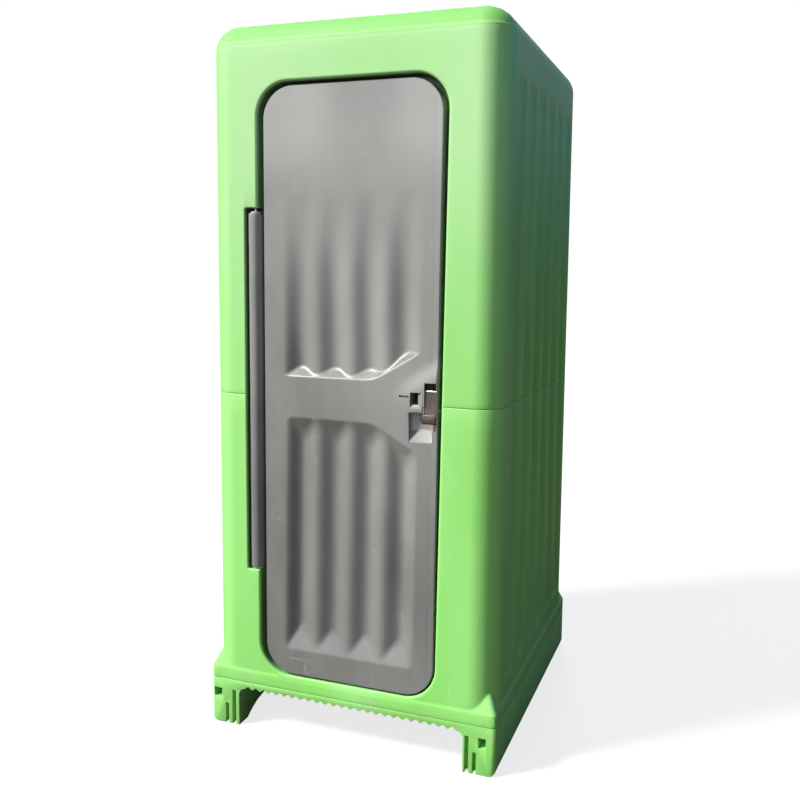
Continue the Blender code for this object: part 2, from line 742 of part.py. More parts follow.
def build_latch_plate(steel):
    """Pressed lift plate: a flat leaf hooked forward at its foot, with a tongue towards the jamb."""
    hook = (
        (PLATE_BACK, 1.077), (PLATE_BACK, 1.178), (PLATE_FRONT, 1.178), (PLATE_FRONT, 1.080),
        (TAB_BACK, 1.080), (TAB_BACK, 1.104), (TAB_FRONT, 1.104), (TAB_FRONT, 1.078),
        (TAB_FRONT + 0.001, 1.077))
    plate = prism("latch_plate", hook, "X", PLATE_LEFT, 0.2915)
    join(plate, box("finger_tab", (0.2500, TAB_FRONT, 1.077), (0.2650, TAB_BACK, 1.104)))
    join(plate, box("joggle", (0.2885, PLATE_FRONT + 0.0005, 1.090), (0.2915, TONGUE_BACK, 1.120)))
    join(plate, box("tongue", (0.2885, TONGUE_FRONT, 1.090), (0.3045, TONGUE_BACK, 1.120)))
    finish(plate, steel, origin=(0.276, PLATE_BACK, 1.128))


def jamb_x(z):
    """Place of the right jamb of the opening at one height."""
    share = (z - OPENING[3]) / (OPENING[4] - OPENING[3])
    return OPENING[1] + (OPENING[2] - OPENING[1]) * share


def build_latch_strike(steel):
    """Folded steel keeper on the right jamb beside the latch tongue."""
    sections = []
    for z in (1.060, 1.126):
        face = jamb_x(z) - GAP
        outline = (
            (face, -0.5050), (face, -0.4770), (face - 0.0020, -0.4770), (face - 0.0020, -0.5050),
            (face - 0.0020, -0.5070), (face, -0.5070))
        sections.append(at_height(outline, z))
    finish(loft("latch_strike", sections), steel)


CASE = (0.150, 0.272, 1.118, 1.182)
CASE_INNER_FACE = -0.4415
BOLT_LEVEL = 1.150


def build_latch_case(plastic):
    """Cover on the door's inner face that guides the privacy bolt."""
    left, right, bottom, top = CASE
    start = DOOR_BACK + GAP
    case_levels = ((start, 0.0), (CASE_INNER_FACE - 0.003, 0.0), (CASE_INNER_FACE, -0.003))
    sections = []
    for y, grow in case_levels:
        outline = rounded_rectangle(
            (right - left) / 2 + grow, (top - bottom) / 2 + grow, 0.006, 2,
            ((left + right) / 2, (bottom + top) / 2))
        sections.append(at_depth(outline, y))
    case = loft("latch_case", sections)
    cut(case, box(
        "hollow", (left + 0.005, start - 0.010, bottom + 0.005),
        (right - 0.004, CASE_INNER_FACE - 0.003, top - 0.005)))
    cut(case, box("bolt_exit", (right - 0.010, -0.4552, BOLT_LEVEL - 0.0112),
                  (right + 0.010, -0.4448, BOLT_LEVEL + 0.0112)))
    cut(case, box("knob_slot", (0.168, CASE_INNER_FACE - 0.010, BOLT_LEVEL - 0.0055),
                  (0.212, CASE_INNER_FACE + 0.010, BOLT_LEVEL + 0.0055)))
    finish(case, plastic, 40)


def build_privacy_bolt(steel, plastic, flag_plastic):
    """Sliding bolt with its thumb knob and the two-colour flag behind the door's window."""
    bolt = box(
        "privacy_bolt", (0.1600, -0.4542, BOLT_LEVEL - 0.0100), (0.2665, -0.4458, BOLT_LEVEL + 0.0100))
    finish(bolt, steel, origin=(0.2130, -0.4500, BOLT_LEVEL))
    knob_x = 0.1760
    knob = cylinder(
        "bolt_knob", (knob_x, -0.4458 + GAP, BOLT_LEVEL), (knob_x, -0.4390, BOLT_LEVEL), 0.0045, 12)
    join(knob, cylinder("thumb", (knob_x, -0.4405, BOLT_LEVEL), (knob_x, -0.4270, BOLT_LEVEL), 0.0140, 16))
    finish(knob, plastic, 40, (knob_x, -0.4400, BOLT_LEVEL))
    flag = box("indicator_flag", (0.1840, -0.4730, 1.1285), (0.2380, -0.4712, 1.1725))
    join(flag, box("flag_arm", (0.2050, -0.4722, 1.1440), (0.2170, -0.4542 - GAP, 1.1560)))
    finish(flag, flag_plastic, origin=(0.2110, -0.4720, BOLT_LEVEL))


def build_bolt_keeper(steel):
    """Bridge-shaped keeper on the front wall's inner face."""
    back = ROOM_FRONT + GAP
    outline = (
        (back, 1.127), (-0.4440, 1.127), (-0.4415, 1.130), (-0.4415, 1.170), (-0.4440, 1.173),
        (back, 1.173), (back, 1.163), (-0.4442, 1.163), (-0.4442, 1.137), (back, 1.137))
    finish(prism("bolt_keeper", outline, "X", 0.2840, 0.3060), steel)


def build_door_furniture(plastic, steel):
    """Pull handle and coat hook on the door's inner face."""
    face = DOOR_BACK + GAP
    handle_x = 0.215
    low, high, reach = 0.800, 0.960, 0.042
    corners = ((handle_x, face, low), (handle_x, face + reach, low),
               (handle_x, face + reach, high), (handle_x, face, high))
    path = [corners[0]]
    path += round_corner(corners[0], corners[1], corners[2], 0.022)
    path += round_corner(corners[1], corners[2], corners[3], 0.022)
    path.append(corners[3])
    finish(bent_tube("pull_handle", path, 0.008), plastic, 50)
    hook_x, hook_z = -0.040, 2.010
    hook = box(
        "coat_hook", (hook_x - 0.014, face, hook_z - 0.032), (hook_x + 0.014, face + 0.003, hook_z + 0.032))
    stem = (
        (hook_x, face + 0.001, hook_z - 0.016), (hook_x, face + 0.036, hook_z - 0.020),
        (hook_x, face + 0.042, hook_z + 0.018))
    path = [stem[0]] + round_corner(stem[0], stem[1], stem[2], 0.012) + [stem[2]]
    join(hook, bent_tube("hook_stem", path, 0.0045))
    finish(hook, steel, 50)


def build_door_bumpers(rubber):
    """Two rubber buttons on the jamb's stop that the closed door rests against."""
    stop_face = -SHELL_HALF_DEPTH + STOP_DEPTH
    for name, height in (("door_bumper_lower", 0.460), ("door_bumper_upper", 1.800)):
        x = jamb_x(height) - 0.022
        button = cylinder(name, (x, stop_face - GAP, height), (x, DOOR_BACK + GAP, height), 0.007, 12)
        finish(button, rubber, 40)


# Toilet bench

def ellipse(half_x, half_y, centre, segments=28):
    return [
        (centre[0] + half_x * math.cos(2 * math.pi * step / segments),
         centre[1] + half_y * math.sin(2 * math.pi * step / segments))
        for step in range(segments)]


def tank_section(height, front, inset):
    back = ROOM_BACK - 0.001
    half_width = ROOM_HALF_WIDTH - 0.001 - inset
    outline = rounded_rectangle(
        half_width, (back - front) / 2 - inset, max(0.056 - inset, 0.01), 4, (0.0, (back + front) / 2))
    return at_height(outline, height)


TANK_WALL = 0.006
DRAIN_PORT = (-0.405, 0.130)
DRAIN_RADIUS = 0.016


def build_waste_tank(plastic):
    """Hollow bench tank with a sloped front, a raised seat rim, a vent collar and lid posts."""
    bottom = FLOOR_HEIGHT + GAP
    tank = loft("waste_tank", [
        tank_section(bottom, 0.060, 0.004), tank_section(bottom + 0.006, 0.058, 0.0),
        tank_section(TANK_TOP - 0.016, 0.002, 0.0), tank_section(TANK_TOP - 0.004, 0.002, 0.005),
        tank_section(TANK_TOP, 0.002, 0.016)])
    join(tank, prism("seat_rim", ellipse(0.165, 0.190, (0.0, SEAT_Y)), "Z", TANK_TOP - 0.004, SEAT_BOTTOM - GAP))
    collar = [(0.0, 0.600), (0.055, 0.600), (0.053, 0.650), (0.0, 0.650)]
    join(tank, turned("collar", collar, 24, (PIPE_X, PIPE_Y), closed=False))
    for side in (-1, 1):
        x_low, x_high = sorted((side * 0.085, side * 0.107))
        post = (
            (LID_AXIS_Y - 0.014, TANK_TOP - 0.005), (LID_AXIS_Y + 0.014, TANK_TOP - 0.005),
            (LID_AXIS_Y + 0.011, LID_AXIS_Z + 0.004), (LID_AXIS_Y + 0.006, LID_AXIS_Z + 0.010),
            (LID_AXIS_Y - 0.006, LID_AXIS_Z + 0.010), (LID_AXIS_Y - 0.011, LID_AXIS_Z + 0.004))
        join(tank, prism("lid_post", post, "X", x_low, x_high))
    cut(tank, loft("tank_hollow", [
        tank_section(bottom + TANK_WALL, 0.058 + TANK_WALL, TANK_WALL),
        tank_section(TANK_TOP - 0.030, 0.006 + TANK_WALL, TANK_WALL),
        tank_section(TANK_TOP - 0.012, 0.006 + TANK_WALL, 0.026)]))
    cut(tank, prism("seat_hole", ellipse(0.118, 0.145, (0.0, SEAT_Y)), "Z", 0.560, 0.660))
    cut(tank, cylinder("vent_port", (PIPE_X, PIPE_Y, 0.560), (PIPE_X, PIPE_Y, 0.700), PIPE_RADIUS + 0.001, 24))
    cut(tank, cylinder("drain_port", (*DRAIN_PORT, 0.560), (*DRAIN_PORT, 0.660), DRAIN_RADIUS + 0.001, 12))
    cut(tank, cylinder("rod_port", (-0.150, LID_AXIS_Y, LID_AXIS_Z), (0.150, LID_AXIS_Y, LID_AXIS_Z), 0.0044, 10))
    finish(tank, plastic, 35)


def build_seat(plastic):
    """Oval seat ring with a rounded section, screwed down on the tank's rim."""
    profile = (
        (-1.00, 0.30), (-0.93, 0.78), (-0.60, 1.00), (0.55, 1.00), (0.92, 0.72), (1.00, 0.25),
        (0.94, 0.0), (-0.94, 0.0))
    segments = 32
    ring_x, ring_y = (0.1475, 0.0375), (0.170, 0.0300)
    height = 0.0215
    sections = []
    for step in range(segments):
        angle = 2 * math.pi * step / segments
        section = []
        for across, up in profile:
            section.append((
                (ring_x[0] + ring_x[1] * across) * math.cos(angle),
                SEAT_Y + (ring_y[0] + ring_y[1] * across) * math.sin(angle),
                SEAT_BOTTOM + height * up))
        sections.append(section)
    finish(loft("seat_ring", sections, ring=True), plastic, 50)


def build_lid(plastic, steel):
    """Domed lid with one knuckle between the tank's posts, on a steel rod."""
    levels = (
        (LID_BOTTOM, 0.176, 0.191), (LID_BOTTOM + 0.003, 0.184, 0.199),
        (LID_BOTTOM + 0.009, 0.184, 0.199), (LID_BOTTOM + 0.014, 0.168, 0.183),
        (LID_BOTTOM + 0.019, 0.100, 0.112))
    lid = loft("seat_lid", [
        at_height(ellipse(half_x, half_y, (0.0, SEAT_Y), 32), z) for z, half_x, half_y in levels])
    knuckle = [(LID_AXIS_Y - 0.052, LID_BOTTOM + 0.0005), (LID_AXIS_Y - 0.010, LID_BOTTOM + 0.0005)]
    for step in range(7):
        angle = math.radians(-90 + 30 * step)
        knuckle.append((
            LID_AXIS_Y + 0.0095 * math.cos(angle), LID_AXIS_Z + 0.0095 * math.sin(angle)))
    knuckle.append((LID_AXIS_Y - 0.052, LID_AXIS_Z + 0.0040))
    join(lid, prism("knuckle", knuckle, "X", -0.0840, 0.0840))
    cut(lid, cylinder("rod_bore", (-0.10, LID_AXIS_Y, LID_AXIS_Z), (0.10, LID_AXIS_Y, LID_AXIS_Z), 0.0045, 10))
    finish(lid, plastic, 35, (0.0, LID_AXIS_Y, LID_AXIS_Z))
    rod = cylinder(
        "lid_hinge_rod", (-0.110, LID_AXIS_Y, LID_AXIS_Z), (0.110, LID_AXIS_Y, LID_AXIS_Z), 0.0040, 10)
    finish(rod, steel, 40)


# Vent stack

def build_vent_stack(plastic, rubber):
    inner = PIPE_RADIUS - 0.0035
    pipe = turned(
        "vent_pipe", [(inner, 0.605), (PIPE_RADIUS, 0.605), (PIPE_RADIUS, PIPE_TOP), (inner, PIPE_TOP)],
        24, (PIPE_X, PIPE_Y))
    finish(pipe, plastic, 40)
    seal_bottom = ROOF_BOSS_TOP + GAP
    seal_bore = PIPE_RADIUS + GAP
    seal = turned(
        "roof_seal", [(seal_bore, seal_bottom), (0.066, seal_bottom), (0.066, seal_bottom + 0.003),
                      (0.052, seal_bottom + 0.006), (0.049, seal_bottom + 0.016),
                      (seal_bore, seal_bottom + 0.016)], 24, (PIPE_X, PIPE_Y))
    finish(seal, rubber, 40)
    spigot = inner - GAP
    cap = turned(
        "vent_cap", [(0.0, 2.372), (0.045, 2.368), (0.072, 2.356), (0.078, 2.344), (0.0745, 2.344),
                     (0.069, 2.352), (0.044, 2.363), (0.0, 2.367)], 24, (PIPE_X, PIPE_Y), closed=False)
    collar = turned(
        "cap_collar", [(spigot - 0.003, 2.310), (spigot, 2.310), (spigot, 2.342), (spigot - 0.003, 2.342)],
        24, (PIPE_X, PIPE_Y))
    join(cap, collar)
    for step in range(3):
        angle = 2 * math.pi * step / 3
        rib = box("cap_rib", (spigot - 0.0025, -0.002, 2.330), (spigot - 0.0005, 0.002, 2.366))
        rib.data.transform(Matrix.Translation((PIPE_X, PIPE_Y, 0)) @ Matrix.Rotation(angle, 4, "Z"))
        join(cap, rib)
    finish(cap, plastic, 40)


def build_pipe_clip(name, height, plastic):
    """Ring round the vent pipe on an arm from the rear wall."""
    low, high = height - 0.012, height + 0.012
    clip = cylinder(name, (PIPE_X, PIPE_Y, low), (PIPE_X, PIPE_Y, high), PIPE_RADIUS + 0.0055, 24)
    join(clip, box(
        "arm", (PIPE_X - 0.010, PIPE_Y + 0.030, low + 0.001), (PIPE_X + 0.010, ROOM_BACK - 0.004, high - 0.001)))
    join(clip, box(
        "pad", (PIPE_X - 0.024, ROOM_BACK - 0.006, low - 0.004), (PIPE_X + 0.024, ROOM_BACK - GAP, high + 0.004)))
    cut(clip, cylinder(
        "clip_bore", (PIPE_X, PIPE_Y, low - 0.010), (PIPE_X, PIPE_Y, high + 0.010), PIPE_RADIUS + 0.0005, 24))
    finish(clip, plastic, 40)


# Urinal

URINAL_Y = -0.130
BOWL_SIDES = 12


def bowl_section(height, reach, half_width, wall_x):
    """A half-oval bowl outline standing against the left wall."""
    points = []
    for step in range(BOWL_SIDES + 1):
        angle = math.radians(-90 + 180 * step / BOWL_SIDES)
        points.append((wall_x + reach * math.cos(angle), URINAL_Y + half_width * math.sin(angle), height))
    return points


def build_urinal(plastic):
    """Corner-free bowl with a tall splash back, hung on the left wall."""
    wall_x = -ROOM_HALF_WIDTH + GAP
    bowl = loft("urinal", [
        bowl_section(0.700, 0.074, 0.036, wall_x), bowl_section(0.730, 0.105, 0.062, wall_x),
        bowl_section(0.790, 0.150, 0.105, wall_x), bowl_section(0.850, 0.172, 0.128, wall_x),
        bowl_section(0.872, 0.182, 0.138, wall_x), bowl_section(0.880, 0.180, 0.136, wall_x)])
    splash = [(-0.136, 0.860), (0.136, 0.860), (0.132, 1.020)]
    for step in range(7):
        angle = math.radians(180 * step / 6)
        splash.append((0.118 * math.cos(angle), 1.060 + 0.060 * math.sin(angle)))
    splash.append((-0.132, 1.020))
    outline = [(URINAL_Y + y, z) for y, z in splash]
    join(bowl, prism("splash_back", outline, "X", wall_x, wall_x + 0.014))
    inner_x = wall_x + 0.008
    cut(bowl, loft("bowl_hollow", [
        bowl_section(0.716, 0.056, 0.024, inner_x), bowl_section(0.740, 0.086, 0.050, inner_x),
        bowl_section(0.795, 0.132, 0.095, inner_x), bowl_section(0.850, 0.154, 0.118, inner_x),
        bowl_section(0.900, 0.160, 0.124, inner_x)]))
    cut(bowl, cylinder(
        "outlet", (wall_x + 0.036, URINAL_Y, 0.690), (wall_x + 0.036, URINAL_Y, 0.725), 0.010, 10))
    finish(bowl, plastic, 40)


def build_urinal_drain(plastic):
    """Rigid waste pipe from the bowl to the tank."""
    top_x = -ROOM_HALF_WIDTH + GAP + 0.036
    corners = (
        (top_x, URINAL_Y, 0.700 - GAP), (top_x, URINAL_Y, 0.660),
        (DRAIN_PORT[0], DRAIN_PORT[1], 0.648), (DRAIN_PORT[0], DRAIN_PORT[1], 0.596))
    path = [corners[0]]
    path += round_corner(corners[0], corners[1], corners[2], 0.028)
    path += round_corner(corners[1], corners[2], corners[3], 0.028)
    path.append(corners[3])
    finish(bent_tube("urinal_drain", path, DRAIN_RADIUS, 2), plastic, 50)


# Paper holder

HOLDER_Y = -0.020
HOLDER_Z = 0.860


def build_paper_holder(plastic, steel):
    """Two-armed bracket on the right wall with a steel bar between the arms."""
    wall_x = ROOM_HALF_WIDTH - GAP
    holder = box(
        "paper_holder", (wall_x - 0.004, HOLDER_Y - 0.074, HOLDER_Z - 0.035),
        (wall_x, HOLDER_Y + 0.074, HOLDER_Z + 0.035))
    arm = [(wall_x - 0.001, HOLDER_Z + 0.024), (wall_x - 0.001, HOLDER_Z - 0.024)]
    for step in range(7):
        angle = math.radians(-90 - 30 * step)
        arm.append((wall_x - 0.066 + 0.014 * math.cos(angle), HOLDER_Z + 0.014 * math.sin(angle)))
    for side in (-1, 1):
        y_low, y_high = sorted((HOLDER_Y + side * 0.066, HOLDER_Y + side * 0.071))
        join(holder, prism("arm", arm, "Y", y_low, y_high))
    bar_x = wall_x - 0.066
    cut(holder, cylinder(
        "bar_port", (bar_x, HOLDER_Y - 0.090, HOLDER_Z), (bar_x, HOLDER_Y + 0.090, HOLDER_Z), 0.0064, 12))
    finish(holder, plastic, 40)
    bar = cylinder(
        "paper_bar", (bar_x, HOLDER_Y - 0.076, HOLDER_Z), (bar_x, HOLDER_Y + 0.076, HOLDER_Z), 0.0060, 12)
    finish(bar, steel, 40)


# Assembly

def build():
    clear_scene()
    green = make_material("green_polyethylene", (0.27, 0.78, 0.17), 0.42)
    door_grey = make_material("grey_polyethylene", (0.23, 0.23, 0.24), 0.45)
    stainless = make_material("stainless_steel", (0.42, 0.38, 0.35), 0.38, 1.0)
    zinc_steel = make_material("zinc_steel", (0.62, 0.62, 0.64), 0.35, 1.0)
    nylon = make_material("nylon", (0.75, 0.74, 0.70), 0.50)
    black_plastic = make_material("black_plastic", (0.03, 0.03, 0.03), 0.48)
    tank_plastic = make_material("tank_polyethylene", (0.10, 0.11, 0.12), 0.50)
    seat_plastic = make_material("seat_plastic", (0.06, 0.06, 0.065), 0.35)
    pipe_plastic = make_material("pipe_pvc", (0.42, 0.43, 0.44), 0.40)
    white_plastic = make_material("white_plastic", (0.80, 0.80, 0.78), 0.35)
    flag_plastic = make_material("flag_plastic", (0.10, 0.45, 0.16), 0.45)
    rubber = make_material("rubber", (0.03, 0.03, 0.03), 0.75)
    build_base(green)
    build_lower_shell(green)
    build_upper_shell(green)
    build_seam_bolts(zinc_steel)
    build_base_bolts(zinc_steel)
    build_vent_grille(black_plastic)
    build_door(door_grey)
    build_hinge(zinc_steel, nylon)
    build_latch_plate(stainless)
    build_latch_strike(zinc_steel)
    build_latch_case(black_plastic)
    build_privacy_bolt(zinc_steel, black_plastic, flag_plastic)
    build_bolt_keeper(zinc_steel)
    build_door_furniture(black_plastic, zinc_steel)
    build_door_bumpers(rubber)
    build_waste_tank(tank_plastic)
    build_seat(seat_plastic)
    build_lid(seat_plastic, zinc_steel)
    build_vent_stack(pipe_plastic, rubber)
    build_pipe_clip("pipe_clip_lower", 0.950, black_plastic)
    build_pipe_clip("pipe_clip_upper", 1.850, black_plastic)
    build_urinal(white_plastic)
    build_urinal_drain(pipe_plastic)
    build_paper_holder(black_plastic, zinc_steel)


build()
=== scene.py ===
import math

import bmesh
import bpy
import numpy as np
from mathutils import Matrix, Vector


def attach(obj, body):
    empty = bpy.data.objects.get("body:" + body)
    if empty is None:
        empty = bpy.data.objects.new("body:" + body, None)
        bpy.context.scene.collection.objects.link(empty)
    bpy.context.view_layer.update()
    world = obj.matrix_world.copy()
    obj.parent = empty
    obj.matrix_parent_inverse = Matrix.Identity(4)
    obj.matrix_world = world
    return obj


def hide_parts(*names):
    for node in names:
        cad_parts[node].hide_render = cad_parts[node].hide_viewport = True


# Frame and camera.
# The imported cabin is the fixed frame. The camera stands to the right of the door at head height,
# turned a little to the left, where the photograph was taken from.
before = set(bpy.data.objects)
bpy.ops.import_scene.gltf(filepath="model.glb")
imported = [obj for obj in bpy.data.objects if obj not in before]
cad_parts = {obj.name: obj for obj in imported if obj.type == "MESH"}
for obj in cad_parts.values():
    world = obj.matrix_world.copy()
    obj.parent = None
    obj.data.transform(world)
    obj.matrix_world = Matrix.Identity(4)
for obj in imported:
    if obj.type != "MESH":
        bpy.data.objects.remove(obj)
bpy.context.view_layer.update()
scene = bpy.context.scene

CAMERA_PLACE = Vector((1.1411, -2.9508, 1.5323))
CAMERA_YAW = 0.3365
CAMERA_PITCH = -0.1063
CAMERA_ROLL = 0.0135
CAMERA_LENS_MM = 39.135
CAMERA_SENSOR_MM = 36.0
CAMERA_SHIFT = (-0.0451, -0.0439)

forward = Vector((
    -math.sin(CAMERA_YAW) * math.cos(CAMERA_PITCH),
    math.cos(CAMERA_YAW) * math.cos(CAMERA_PITCH),
    math.sin(CAMERA_PITCH)))
level_right = Vector((math.cos(CAMERA_YAW), math.sin(CAMERA_YAW), 0.0))
level_up = level_right.cross(forward)
rolled_right = math.cos(CAMERA_ROLL) * level_right + math.sin(CAMERA_ROLL) * level_up
rolled_up = -math.sin(CAMERA_ROLL) * level_right + math.cos(CAMERA_ROLL) * level_up
camera_data = bpy.data.cameras.new("camera")
camera_data.sensor_width = CAMERA_SENSOR_MM
camera_data.lens = CAMERA_LENS_MM
camera_data.shift_x, camera_data.shift_y = CAMERA_SHIFT
camera = bpy.data.objects.new("camera", camera_data)
scene.collection.objects.link(camera)
camera.matrix_world = Matrix.Translation(CAMERA_PLACE) @ Matrix(
    (rolled_right, rolled_up, -forward)).transposed().to_4x4()
scene.camera = camera


# Base moulding.
# The green skid base: two runners with pinned feet, a ribbed fork tunnel and the raised floor.
# It is one polyethylene moulding whose edges are softened here; its floor carries anti-slip studs.
GREEN = (0.265, 0.665, 0.155)
GREEN_PALE = (0.300, 0.700, 0.195)
GREEN_DEEP = (0.235, 0.625, 0.130)
# Paler green towards the top of the front: partly sun fade, partly a painted sheen.
GREEN_FADE_AND_SHEEN = (0.420, 0.690, 0.340)
GREEN_RUBBED = (0.460, 0.860, 0.360)
# Darker green, painted as shade on faces that turn upwards towards the light.
GREEN_TOP_SHADE = (0.170, 0.420, 0.115)
# Deeper green, painted as shade on the roof's rounded edge and on the left side.
GREEN_SHADED = (0.150, 0.450, 0.080)
# Splash dirt near the foot, laid on also as painted shade that darkens the lowest walls.
DUST_AND_SHADE = (0.330, 0.300, 0.230)
# Near-black green, painted as shade inside the doorway's lip round the door, where the gap falls into shadow;
# the GAP_ numbers place it.
GAP_SHADE = (0.030, 0.075, 0.020)
GAP_SIDE = (0.372, 0.364)
GAP_DEPTHS = ((-0.5205, -0.5080), (-0.4600, -0.4750))
GAP_HEIGHTS = ((0.17, 0.20), (2.140, 2.125))
DIRT_AND_SHADE_HEIGHTS = (0.34, 0.02)
ROOF_FRONT_HEIGHTS = (2.180, 2.230)
PARTING_HEIGHT = 2.234
MERGE_DISTANCE = 0.00002
FLAT_DEGREES = 0.6
BASE_EDGE = 0.0018
STUD_PITCH = 0.030
STUD_RADIUS = 0.0055
STUD_HEIGHT = 0.0016
STUD_SUNK = -0.0004
STUD_REACH = 0.425
STUD_ROWS = range(-14, 3)
STUD_COLUMNS = range(-14, 15)
FLOOR_HEIGHT = 0.195
TANK_FRONT = 0.060


def new_material(name, metallic=0.0):
    material = bpy.data.materials.new(name)
    material.use_nodes = True
    material.node_tree.nodes["Principled BSDF"].inputs["Metallic"].default_value = metallic
    return material, material.node_tree


def feed(tree, socket, value):
    """Link another node's output to a socket, or set the socket to a number or a colour."""
    if isinstance(value, bpy.types.NodeSocket):
        tree.links.new(value, socket)
    elif isinstance(value, tuple):
        socket.default_value = (*value, 1.0)
    else:
        socket.default_value = value


def add_node(tree, kind, **inputs):
    """A node with its inputs given by name, with an underscore for each space."""
    node = tree.nodes.new(kind)
    for label, value in inputs.items():
        feed(tree, node.inputs[label.replace("_", " ")], value)
    return node


def noise(tree, scale, detail=2.0, roughness=0.5, stretch=(1.0, 1.0, 1.0), turn=(0.0, 0.0, 0.0)):
    """Noise that stays with the piece, stretched along its axes and turned."""
    coordinate = tree.nodes.new("ShaderNodeTexCoord")
    mapping = add_node(tree, "ShaderNodeMapping", Vector=coordinate.outputs["Object"])
    mapping.inputs["Scale"].default_value = stretch
    mapping.inputs["Rotation"].default_value = turn
    texture = add_node(
        tree, "ShaderNodeTexNoise", Vector=mapping.outputs["Vector"], Scale=scale, Detail=detail,
        Roughness=roughness)
    return texture.outputs["Fac"]


def spread(tree, value, low, high, to_low=0.0, to_high=1.0, kind="SMOOTHSTEP"):
    """Map a value from one range to another, held at both ends."""
    node = add_node(
        tree, "ShaderNodeMapRange", Value=value, From_Min=low, From_Max=high, To_Min=to_low, To_Max=to_high)
    node.interpolation_type = kind
    return node.outputs["Result"]


def arithmetic(tree, operation, first, *others):
    """Math nodes in a row over numbers and sockets."""
    for other in others or (0.0,):
        node = tree.nodes.new("ShaderNodeMath")
        node.operation = operation
        feed(tree, node.inputs[0], first)
        feed(tree, node.inputs[1], other)
        first = node.outputs["Value"]
    return first


def product(tree, *factors):
    return arithmetic(tree, "MULTIPLY", *factors)


def total(tree, *parts):
    return arithmetic(tree, "ADD", *parts)


def coated(tree, colour, *coats):
    """A colour with others laid over it in turn, each by its share from 0 to 1."""
    for share, coat in coats:
        node = tree.nodes.new("ShaderNodeMix")
        node.data_type = "RGBA"
        feed(tree, node.inputs[0], share)
        feed(tree, node.inputs[6], colour)
        feed(tree, node.inputs[7], coat)
        colour = node.outputs[2]
    return colour


def finished(tree, colour, roughness, skin, depth, strength=0.5):
    """Give the material's shader its colour, its roughness and a skin of some depth."""
    bump = add_node(tree, "ShaderNodeBump", Height=skin, Distance=depth, Strength=strength)
    sockets = tree.nodes["Principled BSDF"].inputs
    feed(tree, sockets["Base Color"], colour)
    feed(tree, sockets["Roughness"], roughness)
    feed(tree, sockets["Normal"], bump.outputs["Normal"])


def scratches(tree, stretch, turn, scale, width):
    """Long thin broken lines where a stretched noise crosses its middle value."""
    lines = noise(tree, scale, 0.0, stretch=stretch, turn=turn)
    off_middle = arithmetic(tree, "ABSOLUTE", arithmetic(tree, "SUBTRACT", lines, 0.5))
    patches = spread(tree, noise(tree, 9.0, 3.0, 0.6), 0.58, 0.66)
    return product(tree, spread(tree, off_middle, width, 0.0), patches)


def object_axis(tree, axis):
    """One coordinate of the point on the piece, as a plain number."""
    coordinate = tree.nodes.new("ShaderNodeTexCoord")
    return add_node(tree, "ShaderNodeSeparateXYZ", Vector=coordinate.outputs["Object"]).outputs[axis]


def ramp(tree, axis, *ends):
    """A share that changes from one coordinate to another along an axis."""
    return spread(tree, object_axis(tree, axis), *ends)


def facing(tree, axis, low, high):
    """Where a surface faces along an axis; it places painted shade, painted glints and roughness by how faces
    turn.
    """
    geometry = tree.nodes.new("ShaderNodeNewGeometry")
    parts = add_node(tree, "ShaderNodeSeparateXYZ", Vector=geometry.outputs["Normal"])
    return spread(tree, parts.outputs[axis], low, high)


def inside_box(tree, low_corner, high_corner, edge):
    """One inside a box given by two corners, fading to zero across its edge."""
    shares = []
    for axis, low, high in zip("XYZ", low_corner, high_corner):
        shares.append(ramp(tree, axis, low - edge, low + edge))
        shares.append(ramp(tree, axis, high + edge, high - edge))
    return product(tree, *shares)


def fade_and_sheen(tree, low, high, most):
    """How far a moulding pales towards the top, in drifting patches: partly sun fade, partly a painted sheen
    of bright sky.
    """
    patches = noise(tree, 2.2, 3.0, stretch=(1.0, 1.0, 0.5))
    return product(tree, ramp(tree, "Z", low, high, 0.0, most), spread(tree, patches, 0.25, 0.75, 0.6, 1.2))


